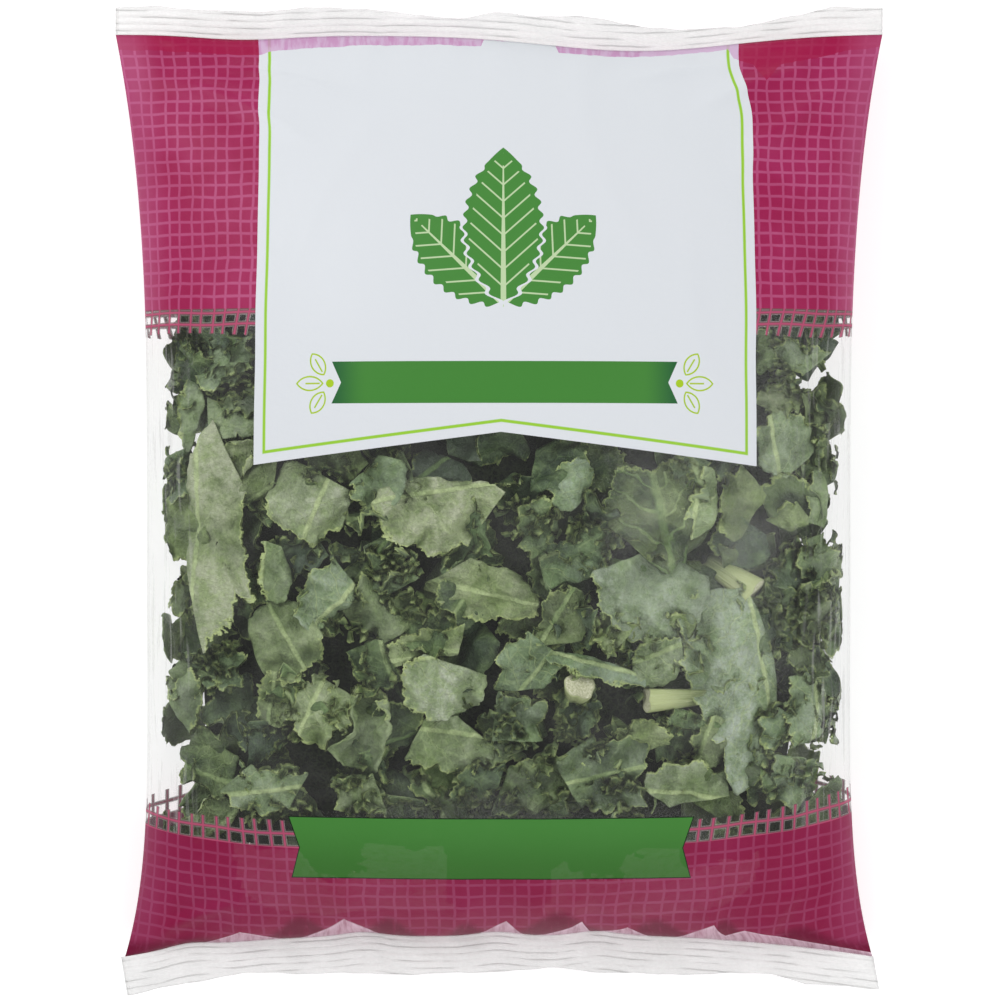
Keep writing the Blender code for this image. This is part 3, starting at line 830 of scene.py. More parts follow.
def add_ribbons(tree, u, v, colour):
    """Both ribbons over a colour: (colour, where the lower one is)."""
    aside = away_from(tree, u, RIBBON_MIDDLE)
    shade = blend(tree, ramp(tree, aside, 44.0, 57.0), RIBBON_GREEN, RIBBON_SHADE)
    upper = ribbon_mask(tree, aside, v, RIBBON_HALF, RIBBON_LOW, RIBBON_HIGH)
    colour = blend(tree, upper, colour, shade)
    aside = away_from(tree, u, LOWER_MIDDLE)
    outline = ribbon_mask(tree, aside, v, LOWER_HALF, LOWER_LOW, LOWER_HIGH, 0.35)
    lower = ribbon_mask(tree, aside, v, LOWER_HALF, LOWER_LOW, LOWER_HIGH)
    colour = blend(tree, outline, colour, RIBBON_LINE)
    lit = blend(tree, ramp(tree, v, LOWER_LOW, LOWER_HIGH), LOWER_GREEN, RIBBON_GREEN)
    return blend(tree, lower, colour, lit), outline


def print_group():
    """The whole print: colour, how much ink there is, and where the label's ink is."""
    tree, start, end = new_group(
        "bag print",
        [
            ("Place", "NodeSocketVector"),
            ("Gather", "NodeSocketFloat"),
            ("Fold", "NodeSocketFloat"),
            ("Pleat", "NodeSocketFloat"),
        ],
        [("Colour", "NodeSocketColor"), ("Ink", "NodeSocketFloat"), ("Label", "NodeSocketFloat")],
    )
    place, gather, fold_shade, pleat_highlight = (start.outputs[key] for key in ("Place", "Gather", "Fold", "Pleat"))
    u, v, _ = split(tree, place)
    colour, cover = band_print(tree, place, gather, fold_shade, pleat_highlight)
    panel, label = label_print(tree, u, v, gather)
    colour = blend(tree, label, colour, panel)
    colour, outline = add_ribbons(tree, u, v, colour)
    tree.links.new(colour, end.inputs["Colour"])
    tree.links.new(either(tree, cover, label, outline), end.inputs["Ink"])
    tree.links.new(label, end.inputs["Label"])
    return tree


PRINT = print_group()
print("print group:", len(PRINT.nodes), "nodes")

# %% [markdown]
# ## Film material
#
# Where there is no ink the film is almost clear: a little grey haze, a mirror-like gloss, and more
# of both at a slant. Alpha carries that, low in the window and near 1 under ink. The clear film
# is given a metal's reflection, because alpha also thins the gloss, and a plain gloss would vanish.

# %% Film material
CLEAR_DARK, CLEAR_LIGHT, GLARE_WHITE = (0.60, 0.62, 0.60), (0.80, 0.81, 0.79), (0.92, 0.92, 0.92)
# How much the clear film covers: face on, more at a slant, more in its haze, more in its glare
THIN, THIN_SLANT, THIN_HAZE, THIN_GLARE = 0.04, 0.36, 0.035, 0.14
# How much the ink covers, and how much more the label's does
INK_COVER, LABEL_COVER = 0.965, 0.03
GATHER_COVER = 0.85


def gather_mask(tree, u, v, wander):
    """Where spare film is gathered dark under the top seal."""
    line = calc(tree, "SUBTRACT", TOP_LINE, bells_node(tree, u, TOP_DIPS))
    depth = calc(tree, "SUBTRACT", line, v)
    deep = broken_line(tree, u, TOP_GATHER)
    ragged = calc(tree, "MULTIPLY_ADD", wander, 1.6, -0.8)
    gathered = calc(tree, "LESS_THAN", depth, calc(tree, "ADD", deep, ragged))
    return both(tree, gathered, GATHER_COVER)


def pleat_masks(tree, u, v):
    """Over the bottom seal: painted highlight on the peaks, and painted shade in the folds."""
    line = calc(tree, "SUBTRACT", bells_node(tree, u, SCALLOPS), BOTTOM_LINE)
    height = calc(tree, "SUBTRACT", v, line)
    peaks = []
    for middle, left, right, tall in PLEAT_HIGHLIGHT_PEAKS:
        off = calc(tree, "SUBTRACT", u, middle)
        off = either(tree, calc(tree, "DIVIDE", off, -left), calc(tree, "DIVIDE", off, right))
        up = calc(tree, "DIVIDE", height, tall)
        peaks.append(calc(tree, "SUBTRACT", calc(tree, "SUBTRACT", 1.0, off), up))
    streaks = noise(tree, join(tree, u, calc(tree, "MULTIPLY", v, 0.2)), 0.55, 3.0, 0.6)
    peak = either(tree, *peaks)
    inner = ramp(tree, peak, 0.05, 0.3, 1.0, 0.8)
    # Painted highlight: pale streaky film on the pleats' peaks over the bottom seal.
    pale = both(tree, ramp(tree, peak, -0.03, 0.06), inner, ramp(tree, streaks, 0.3, 0.6, 0.5, 1.0))
    # Painted shade: the film is darkened in the folds beside the pleats.
    over = calc(tree, "SUBTRACT", height, bells_node(tree, u, FOLD_SHADE_BELLS))
    fold_shade = both(tree, ramp(tree, over, -4.0, 0.5, 1.0, 0.0), ramp(tree, streaks, 0.3, 0.5, 0.55, 0.95))
    return pale, fold_shade


def film_material():
    made, shader = new_material("printed film", 0.2, IOR=1.5, Specular_IOR_Level=0.14)
    tree = made.node_tree
    place = tree.nodes.new("ShaderNodeUVMap")
    place.uv_map = "flat"
    u, v, _ = split(tree, place.outputs[0])
    across = calc(tree, "ABSOLUTE", u)
    gather = gather_mask(tree, u, v, noise(tree, place.outputs[0], 0.16, 3.0, 0.6))
    pale, fold_shade = pleat_masks(tree, u, v)
    printed = use_group(tree, PRINT, Place=place.outputs[0], Gather=gather, Fold=fold_shade, Pleat=pale)
    haze = noise(tree, place.outputs[0], 0.035, 4.0, 0.6)
    clear = blend(tree, ramp(tree, haze, 0.3, 0.7), CLEAR_DARK, CLEAR_LIGHT)
    drawn_out = join(tree, calc(tree, "MULTIPLY", u, 0.6), calc(tree, "MULTIPLY", v, 0.035))
    lines = noise(tree, drawn_out, 1.0, 2.0)
    glare = both(tree, ramp(tree, lines, 0.54, 0.68), ramp(tree, across, 96.0, 112.0))
    clear = blend(tree, glare, clear, GLARE_WHITE)
    colour = blend(tree, printed["Ink"], clear, printed["Colour"])
    tree.links.new(colour, shader.inputs["Base Color"])
    facing = tree.nodes.new("ShaderNodeLayerWeight")
    facing.inputs["Blend"].default_value = 0.35
    slant = calc(tree, "POWER", facing.outputs["Facing"], 2.0)
    thin = calc(tree, "MULTIPLY_ADD", slant, THIN_SLANT, THIN)
    thin = calc(tree, "ADD", thin, calc(tree, "MULTIPLY", ramp(tree, haze, 0.35, 0.75), THIN_HAZE))
    thin = calc(tree, "MULTIPLY_ADD", glare, THIN_GLARE, thin)
    solid = calc(tree, "MULTIPLY_ADD", printed["Label"], LABEL_COVER, INK_COVER)
    alpha = calc(tree, "ADD", thin, both(tree, printed["Ink"], calc(tree, "SUBTRACT", solid, thin)))
    tree.links.new(alpha, shader.inputs["Alpha"])
    bare = calc(tree, "SUBTRACT", 1.0, either(tree, printed["Ink"], glare))
    tree.links.new(calc(tree, "MULTIPLY", bare, 0.5), shader.inputs["Metallic"])
    rough = ramp(tree, haze, 0.2, 0.8, 0.14, 0.26)
    rough = calc(tree, "MULTIPLY_ADD", printed["Ink"], 0.26, rough)
    tree.links.new(rough, shader.inputs["Roughness"])
    fine = noise(tree, place.outputs[0], 0.35, 4.0, 0.6)
    bumped(tree, shader, fine, 0.00035, 0.35)
    return made


FILM = film_material()

# %% [markdown]
# ## The bag's skin
#
# The skin takes the place of the three film zones and of the raised print in the frame: on the
# real bag all of these are one film.

# %% Skin of the bag
skin_mesh = bmesh.new()
flat_uv = skin_mesh.loops.layers.uv.new("flat")
film_sheet(skin_mesh, flat_uv, True)
film_sheet(skin_mesh, flat_uv, False)
bmesh.ops.remove_doubles(skin_mesh, verts=skin_mesh.verts, dist=1e-7)
skin = finished("bag_film", skin_mesh, [FILM])
print("bag film:", len(skin.data.polygons), "faces")
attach(skin, "root")
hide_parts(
    "film_top_band",
    "film_window",
    "film_bottom_band",
    "label_panel",
    "label_ribbon",
    "lower_ribbon",
)

# %% [markdown]
# ## Crimped seals
#
# The jaws of the packing machine press both layers together between warm ribbed bars. That leaves
# a strip of fine ribs, milky because the film scatters there, cut a little unevenly at its edge.

# %% Seal material
RIB_SPACE = 2.3
SEAL_WHITE, SEAL_GREY = (0.93, 0.93, 0.925), (0.66, 0.66, 0.65)


def seal_material():
    """Milky film. The flat map's second number is the distance from the seal's inner line."""
    made, shader = new_material("crimped film", 0.32, IOR=1.5)
    tree = made.node_tree
    place = tree.nodes.new("ShaderNodeUVMap")
    place.uv_map = "flat"
    u, out, _ = split(tree, place.outputs[0])
    sway = noise(tree, join(tree, calc(tree, "MULTIPLY", u, 0.06), 0.0), 1.0, 2.0)
    near = calc(tree, "PINGPONG", calc(tree, "MULTIPLY_ADD", sway, 1.6, out), RIB_SPACE / 2)
    ridge = ramp(tree, near, 0.05, 0.34, 1.0, 0.0)
    faint = noise(tree, place.outputs[0], 0.09, 4.0, 0.65)
    broken = noise(tree, join(tree, calc(tree, "MULTIPLY", u, 0.05), out), 1.0, 2.0)
    ridge = both(tree, ridge, ramp(tree, broken, 0.42, 0.6))
    colour = blend(tree, ridge, SEAL_WHITE, SEAL_GREY)
    tree.links.new(colour, shader.inputs["Base Color"])
    milky = calc(tree, "MULTIPLY_ADD", ridge, 0.25, ramp(tree, faint, 0.3, 0.7, 0.46, 0.66))
    tree.links.new(milky, shader.inputs["Alpha"])
    bumped(tree, shader, calc(tree, "ADD", ridge, calc(tree, "MULTIPLY", faint, 0.4)), 0.0003, 0.5)
    return made


SEAL = seal_material()

# %% [markdown]
# Each strip is a grid that is laid from its crimp line out to its cut edge, waved by the crimp and
# ribbed along its length. A Solidify modifier then gives it a wall.

# %% Seal strips
SEAL_THICK, SEAL_RIB = 0.35, 0.12
SEAL_COLUMNS, SEAL_ROWS = 150, 20
# The seals' cut outer edges: x and y
TOP_CUT = (
    (-128.5, 165.0),
    (-113, 165.5),
    (-96, 163.6),
    (-78, 163.8),
    (-66, 165.2),
    (-44, 165.2),
    (-27, 162.7),
    (-14, 161.5),
    (-1, 163.2),
    (11, 161.8),
    (28, 162.0),
    (41, 159.7),
    (61, 157.9),
    (80, 159.2),
    (102, 162.9),
    (112, 165.6),
    (128.5, 164.4),
)
BOTTOM_CUT = (
    (-125, -165.8),
    (-108, -162.2),
    (-88, -159.0),
    (-30, -158.8),
    (19, -157.1),
    (34, -158.9),
    (52, -159.5),
    (90, -158.3),
    (101, -161.8),
    (125, -163.6),
)
# The lower seal is drawn aside, by this share of the distance from its inner line
SEAL_SKEW, SEAL_SHIFT = 0.17, -0.5


def seal_edge(x, end):
    """Y of a seal's cut outer edge."""
    nick = 0.2 * math.sin(x / 5.1 + end) + 0.15 * math.sin(x / 2.1) * math.sin(x / 6.7)
    return float(np.interp(x, *zip(*(TOP_CUT if end > 0 else BOTTOM_CUT)))) + nick


def dress_strip(strip, node):
    """Gives a strip its wall, and the place of its solid."""
    wall = strip.modifiers.new("wall", "SOLIDIFY")
    wall.thickness = SEAL_THICK * MM
    wall.offset = 0.0
    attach(strip, "root")
    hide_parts(node)


def seal_strip(name, node, end, half):
    """A ribbed strip from a crimp line outwards, with a thin wall."""
    bm = bmesh.new()
    flat_map = bm.loops.layers.uv.new("flat")
    bmesh.ops.create_grid(bm, x_segments=SEAL_COLUMNS, y_segments=SEAL_ROWS, size=1.0)
    flat = {}
    for vert in bm.verts:
        x = vert.co.x * half
        out = (vert.co.y + 1) / 2
        line = crimp_line(x, end)
        tall = seal_edge(x, end) - line
        rib = SEAL_RIB * math.cos(math.tau * abs(tall) * out / RIB_SPACE)
        rib *= ease(out / 0.08) * ease((1 - out) / 0.05)
        curl = 0.7 * math.sin(x / 27 + 2 * end) * out * out
        z = END_HEIGHT + crimp_wave(x, end) * (1 + 0.5 * out) + rib + curl
        flat[vert] = (x, abs(tall) * out)
        aside = SEAL_SHIFT + SEAL_SKEW * abs(tall) * out if end < 0 else 0.0
        vert.co = Vector((x + aside, line + tall * out, z)) * MM
    write_flat(bm, flat_map, flat)
    if end < 0:
        bmesh.ops.reverse_faces(bm, faces=bm.faces)
    dress_strip(finished(name, bm, [SEAL]), node)


seal_strip("seal_top", "top_crimp_seal", 1, TOP_HALF)
seal_strip("seal_bottom", "bottom_crimp_seal", -1, BOTTOM_HALF + 0.8)
print("seals: ribs", RIB_SPACE, "mm apart, walls", SEAL_THICK, "mm")

# %% [markdown]
# Down the back, both edges of the web are sealed into a fin, and the fin is folded flat. It lies in
# a shallow groove of the back film, so the bag still rests level on its back.

# %% Fin seal
FIN_HALF = 7.5
# How far the fin runs, in s, and how far it stands off the back film
FIN_LOW, FIN_HIGH, FIN_OFF = -0.955, 0.945, 0.8

fin_mesh = bmesh.new()
fin_map = fin_mesh.loops.layers.uv.new("flat")
bmesh.ops.create_grid(fin_mesh, x_segments=12, y_segments=110, size=1.0)
fin_flat = {}
for vert in fin_mesh.verts:
    x = vert.co.x * FIN_HALF
    s = FIN_LOW + (FIN_HIGH - FIN_LOW) * (vert.co.y + 1) / 2
    y = float(along(0.0, s))
    z = float(back_height(0.0, np.float64(s))) - FIN_OFF
    z += 0.12 * math.cos(math.tau * (x + FIN_HALF) / RIB_SPACE) + 0.1 * math.sin(y / 7)
    fin_flat[vert] = (y, x + FIN_HALF)
    vert.co = Vector((x + 0.25 * math.sin(y / 19), y, z)) * MM
write_flat(fin_mesh, fin_map, fin_flat)
bmesh.ops.reverse_faces(fin_mesh, faces=fin_mesh.faces)
dress_strip(finished("seal_fin", fin_mesh, [SEAL]), "back_fin_seal")
print("fin seal:", 2 * FIN_HALF, "mm wide")

# %% [markdown]
# ## Kale leaves
#
# Curly kale grows more edge than it has room for, so its margin buckles into waves, and the waves
# into smaller waves, while the middle of the blade stays nearly flat. A chopper then cuts the
# leaf into pieces, most of them 15 to 40 mm long, so each piece has some straight cut sides and
# perhaps one frilled natural side. One formula makes every piece: a square grid becomes a rounded
# outline, ruffles of two sizes grow towards its natural side, and the sheet is curled and laid.

# %% Leaf formulas
# In place of an angle, for a natural edge all the way round, and a rib too far off to show
ALL_ROUND, NO_RIB = 999, 60.0
# Ruffles: wavelength, height, how late they grow towards the edge, and how far they lean out
RUFFLES = ((17.0, 3.4, 2.5, 1.0), (7.6, 2.3, 5.0, 1.1))
LEAF_WALL, SINK = 0.5, 1.2
RIM_WIDTH = 3.4
# Swells of a blade: their lengths, and their height as a share of the length
SWELLS, SWELL_RISE = (21.0, 14.0, 9.5, 6.5, 4.6), 0.07
# How far a cut is from the middle, as a share of the full reach
CUT_REACH = (0.62, 0.92)


class Piece(NamedTuple):
    """A piece of leaf, in mm and degrees. x, y and depth say where it lies under the front film.

    frill is how curly its natural edge is, edge the way that one faces, and rib where the midrib
    runs across the piece. curl bends the whole piece. tone is how light it is, and pale how waxy.
    cuts counts its straight sides, and node names its solid. taper and arch shape the outline, and
    bold is 1 for thick veins.
    """

    x: float
    y: float
    length: float
    width: float
    turn: float
    depth: float = 2.0
    tilt: float = 0.0
    frill: float = 0.3
    edge: float = 90.0
    rib: float = NO_RIB
    curl: float = -0.5
    tone: float = 0.6
    pale: float = 0.3
    cuts: int = 2
    node: str = ""
    taper: float = 0.0
    arch: float = 0.0
    bold: int = 0


def ring_place(u, v, a, b):
    """Which ring of the grid a point is on, 0 to 1, and how far round it, 0 to 1."""
    ring = np.maximum(np.maximum(np.abs(u), np.abs(v)), 1e-6)
    across, up = np.where(ring > 1e-5, u / ring, 1.0), v / ring
    run = np.where(up <= -1, 3 * b + 2 * a + (1 + across) * a, 0.0)
    run = np.where(across <= -1, b + 2 * a + (1 - up) * b, run)
    run = np.where(up >= 1, b + (1 - across) * a, run)
    run = np.where(across >= 1, up * b, run)
    return ring, run / (4 * (a + b)), across, up


def crumple(x, y, dice):
    """Soft relief of a tumbled blade: a bend like a roof's ridge, swells, and two sharp folds."""
    way = dice.uniform(0, math.pi)
    run = x * math.cos(way) + y * math.sin(way) - dice.uniform(-3, 3)
    height = dice.uniform(0.12, 0.3) * dice.choice((-1, -1, 1)) * (np.hypot(run, 1.5) - 5)
    for length in SWELLS:
        way = dice.uniform(0, math.tau)
        run = x * math.cos(way) + y * math.sin(way)
        off = y * math.cos(way) - x * math.sin(way)
        bend = 0.8 * np.sin(math.tau * off / (1.7 * length) + dice.uniform(0, math.tau))
        wave = np.sin(math.tau * run / length + bend + dice.uniform(0, math.tau))
        height += SWELL_RISE * length * wave
    for _ in range(2):
        way = dice.uniform(0, math.pi)
        run = x * math.cos(way) + y * math.sin(way) - dice.uniform(-6, 6)
        height -= dice.uniform(0.6, 1.6) * np.exp(-np.abs(run) / 2.0)
    return height


def leaf_outline(piece, across, up, turn, dice):
    """How far the outline reaches each way, how natural its edge is there, and some phases."""
    if piece.edge == ALL_ROUND:
        natural = np.ones_like(across)
    else:
        way = math.radians(piece.edge)
        toward = (across * math.cos(way) + up * math.sin(way)) / np.hypot(across, up)
        natural = ease((toward - 0.05) / 0.5)
    power = dice.uniform(2.1, 3.4)
    reach = (np.abs(across) ** power + np.abs(up) ** power) ** (-1 / power)
    phase = [dice.uniform(0, math.tau) for _ in range(12)]
    lobe = 0.075 * np.sin(4 * turn + phase[0]) + 0.05 * np.sin(7 * turn + phase[1])
    chip = 0.035 * np.sin(6 * turn + phase[2]) + 0.02 * np.sin(17 * turn + phase[3])
    chip = chip + 0.012 * np.sin(31 * turn + phase[4])
    reach = reach * (1 + natural * (0.5 + piece.frill) * lobe + chip)
    for _ in range(piece.cuts):
        way = dice.uniform(0, math.tau)
        if piece.edge != ALL_ROUND:
            way = math.radians(piece.edge) + dice.choice((-1, 1)) * dice.uniform(1.3, 3.14)
        toward = across * math.cos(way) + up * math.sin(way)
        share = dice.uniform(*CUT_REACH)
        limit = np.where(toward > 0.05, share / np.maximum(toward, 0.05), 9.0)
        natural = natural * ease((limit - reach) / 0.12 + 0.4)
        reach = np.minimum(reach, limit)
    return reach, natural, phase


def leaf_sheet(u, v, piece, dice):
    """Points of a curled sheet about its own middle, its flat coordinates, and its rim mask."""
    a, b = piece.length / 2, piece.width / 2
    ring, run, across, up = ring_place(u, v, a, b)
    full = np.hypot(across, up)
    turn = math.tau * run
    reach, natural, phase = leaf_outline(piece, across, up, turn, dice)
    flat_x, flat_y = u * a * reach, v * b * reach
    flat_y = flat_y * (1 + piece.taper * flat_x / a) + piece.arch * (flat_x / a) ** 2

    frill = natural * piece.frill
    rise = 2.2 * frill * ease((ring - 0.62) / 0.38)
    outward = -1.2 * frill * ease((ring - 0.72) / 0.28)
    perimeter = 4 * (a + b)
    sway = 0.8 * np.sin(2 * turn + phase[4]) + 0.6 * np.sin(3 * turn + phase[5])
    for (length, height, growth, over), start in zip(RUFFLES, phase[6:]):
        angle = max(2, round(perimeter / length)) * turn + start + sway * 6 / length
        angle = angle + 0.9 * (1 - ring)
        rise = rise + frill * height * ring**growth * np.sin(angle)
        outward = outward + frill * over * ring**growth * np.cos(angle + 0.6)
    rise = rise + crumple(flat_x, flat_y, dice)
    rise = rise + (0.4 + 0.4 * piece.bold) * np.exp(-(((flat_y - piece.rib) / 1.2) ** 2))
    x = flat_x + outward * across / full
    y = flat_y + outward * up / full
    bend = piece.curl / piece.width * (1 + 0.35 * x / a)
    bend = np.where(np.abs(bend) < 1e-4, 1e-4, bend)
    angle = bend * y
    places = np.stack(
        [
            x,
            np.sin(angle) / bend - rise * np.sin(angle),
            (1 - np.cos(angle)) / bend + rise * np.cos(angle),
        ],
        axis=-1,
    )
    margin = (1 - ring) * min(a, b)
    rim = natural * np.clip(1 - margin / RIM_WIDTH, 0, 1) * min(1.0, 0.7 + piece.frill)
    return places, flat_x, flat_y - piece.rib, rim


# %% [markdown]
# Where the margin is curliest it stands on edge, which a sheet seen from above can't show. So
# strips of margin are made too, each a tall narrow grid that is waved along its run.

# %% Ruffle formulas


def ruffle_sheet(u, v, piece, dice):
    """A strip of curly margin that stands on edge. Its width is its height, its curl its arc."""
    phase = [dice.uniform(0, math.tau) for _ in range(4)]
    run = u * piece.length / 2
    up = (v + 1) / 2
    arc = piece.curl / piece.length
    arc = arc if abs(arc) > 1e-4 else 1e-4
    wave = math.tau * run / dice.uniform(4.4, 6.4) + phase[0] + 1.1 * np.sin(run / 4 + phase[1])
    swing = 0.3 + dice.uniform(1.4, 2.4) * up**1.2
    off = swing * np.sin(wave) + 0.7 * up**2 * np.sin(2.3 * wave + phase[2])
    along_strip = run - 0.5 * swing * np.sin(2 * wave)
    angle = arc * along_strip
    places = np.stack(
        [
            np.sin(angle) / arc - off * np.sin(angle),
            (1 - np.cos(angle)) / arc + off * np.cos(angle),
            (up - 1) * piece.width + 0.8 * up * np.sin(run / 4 + phase[3]),
        ],
        axis=-1,
    )
    rim = np.clip(1 - (1 - up) * piece.width / RIM_WIDTH, 0, 1)
    return places, run * 1.7, up * piece.width + NO_RIB, rim


def ruffles_on(piece, count, dice):
    """Standing ruffles laid side by side over a curly piece."""
    found = []
    for k in range(count):
        share = (k + 0.5) / count * 2 - 1 + dice.uniform(-0.12, 0.12)
        off = share * piece.width * 0.48
        turn = math.radians(piece.turn)
        shift = dice.uniform(-0.1, 0.1) * piece.length
        length = piece.length * dice.uniform(0.75, 1.0) * math.sqrt(max(0.3, 1 - 0.7 * share**2))
        found.append(
            Piece(
                piece.x + shift * math.cos(turn) - off * math.sin(turn),
                piece.y + shift * math.sin(turn) + off * math.cos(turn),
                length,
                dice.uniform(3.4, 5.8),
                piece.turn + dice.uniform(-40, 40),
                max(0.6, piece.depth * 0.6 + dice.uniform(-1.2, 1.2)),
                dice.uniform(-35, 35),
                curl=dice.uniform(-2.2, 2.2),
                tone=min(1.0, piece.tone + dice.uniform(-0.05, 0.3)),
                pale=piece.pale,
            )
        )
    return found


# %% [markdown]
# Loose leaves in a bag lie close under its film and are pressed flat where they touch it. We lay
# each sheet at its depth under the film, and push back softly whatever would come through.

# %% Laying a piece
SIDE_ROOM_LEFT, SIDE_ROOM_RIGHT = 5.5, 2.2
OVER_BACK = 1.0


def soft_floor(value, width):
    """About 0 below 0 and the value itself above, with a soft bend between them."""
    return width * np.logaddexp(0, value / width)


def pressed(places, clear):
    """Keeps points inside the film, as leaves pressed softly against it."""
    x, y = places[:, 0], places[:, 1]
    s = share_at(x, y)
    room = half_width(s) - np.where(x < 0, SIDE_ROOM_LEFT, SIDE_ROOM_RIGHT)
    x = np.sign(x) * (room - soft_floor(room - np.abs(x), 1.5))
    ceiling = front_height(x, s) - clear
    ground = back_height(x, s) + OVER_BACK
    z = ceiling - soft_floor(ceiling - places[:, 2], 0.7)
    z = ground + soft_floor(z - ground, 0.7)
    return np.stack([x, y, np.minimum(z, np.maximum(ceiling, ground))], axis=-1)


def laid(places, piece, back):
    """The sheet tilted, turned and brought under the front film, or over the back one."""
    tilt = Matrix.Rotation(math.radians(piece.tilt), 3, "X")
    turn = Matrix.Rotation(math.radians(piece.turn), 3, "Z")
    move = np.array(turn @ tilt)
    if back:
        move = np.diag([1.0, -1.0, -1.0]) @ move
    places = places @ move.T
    x = np.clip(places[:, 0] + piece.x, -124, 124)
    y = places[:, 1] + piece.y
    s = share_at(x, y)
    if back:
        base = back_height(x, s) + piece.depth
    else:
        base = front_height(x, s) - piece.depth - SINK
    return np.stack([x, y, base + places[:, 2]], axis=-1)


# %% [markdown]
# ## Kale material
#
# The blade is blue-green with a waxy grey bloom. A pale midrib runs along each piece's own x axis,
# side veins leave it about every 9 mm, and two nets of small veins fill the rest. Each point
# carries its flat place on the leaf and the piece's tone, so that veins bend with the leaf.

# %% Kale blade group
# Pairs of colours, for a dark tone and a light one
BLADE_COLOURS = (0.018, 0.040, 0.013), (0.195, 0.290, 0.095)
NET_COLOURS = (0.10, 0.17, 0.06), (0.30, 0.40, 0.20)
VEIN_COLOURS = (0.13, 0.21, 0.07), (0.50, 0.60, 0.30)
RIM_AND_HIGHLIGHT_COLOURS = (0.26, 0.34, 0.12), (0.50, 0.60, 0.24)
# Factors on the colour: a cooler and a warmer leaf
HUES = (0.93, 1.0, 1.06), (1.05, 1.02, 0.86)
BLOOM, PALE_SIDE = (0.45, 0.49, 0.41), (0.30, 0.38, 0.17)
VEIN_SPACE = 9.2
SPECK_GAIN, SPECK_BASE = 1.15, 0.56
# Where the curly rim turns pale, partly its own colour and partly painted highlight, and where it is eaten
# away
RIM_PALE, RIM_GONE, RIM_LEAST = 0.36, 0.63, 0.02


def vein_masks(tree, x, y, thick, spot):
    """The midrib, and the side veins that leave it."""
    warp = calc(tree, "SUBTRACT", noise(tree, spot, 0.13, 2.0), 0.5)
    away = calc(tree, "ABSOLUTE", calc(tree, "MULTIPLY_ADD", warp, 1.6, y))
    run = calc(tree, "MULTIPLY_ADD", away, -0.85, x)
    run = calc(tree, "MULTIPLY_ADD", warp, 9.0, run)
    near = calc(tree, "PINGPONG", run, VEIN_SPACE / 2)
    fade = ramp(tree, away, 3.0, 22.0, 0.75, 0.25)
    near = calc(tree, "DIVIDE", near, calc(tree, "MULTIPLY_ADD", thick, 1.5, 1.0))
    side = calc(tree, "MULTIPLY", ramp(tree, near, 0.1, 0.36, 1.0, 0.0), fade)
    side = calc(tree, "MULTIPLY", side, calc(tree, "MULTIPLY_ADD", thick, 0.5, 1.0))
    thin_away = calc(tree, "DIVIDE", away, calc(tree, "MULTIPLY_ADD", thick, 0.8, 1.0))
    return ramp(tree, thin_away, 0.4, 1.1, 1.0, 0.0), side


def by_seed(tree, seed, pace, gain, base):
    """A value from base - gain to base + gain that differs from piece to piece."""
    return calc(tree, "MULTIPLY_ADD", calc(tree, "SINE", calc(tree, "MULTIPLY", seed, pace)), gain, base)


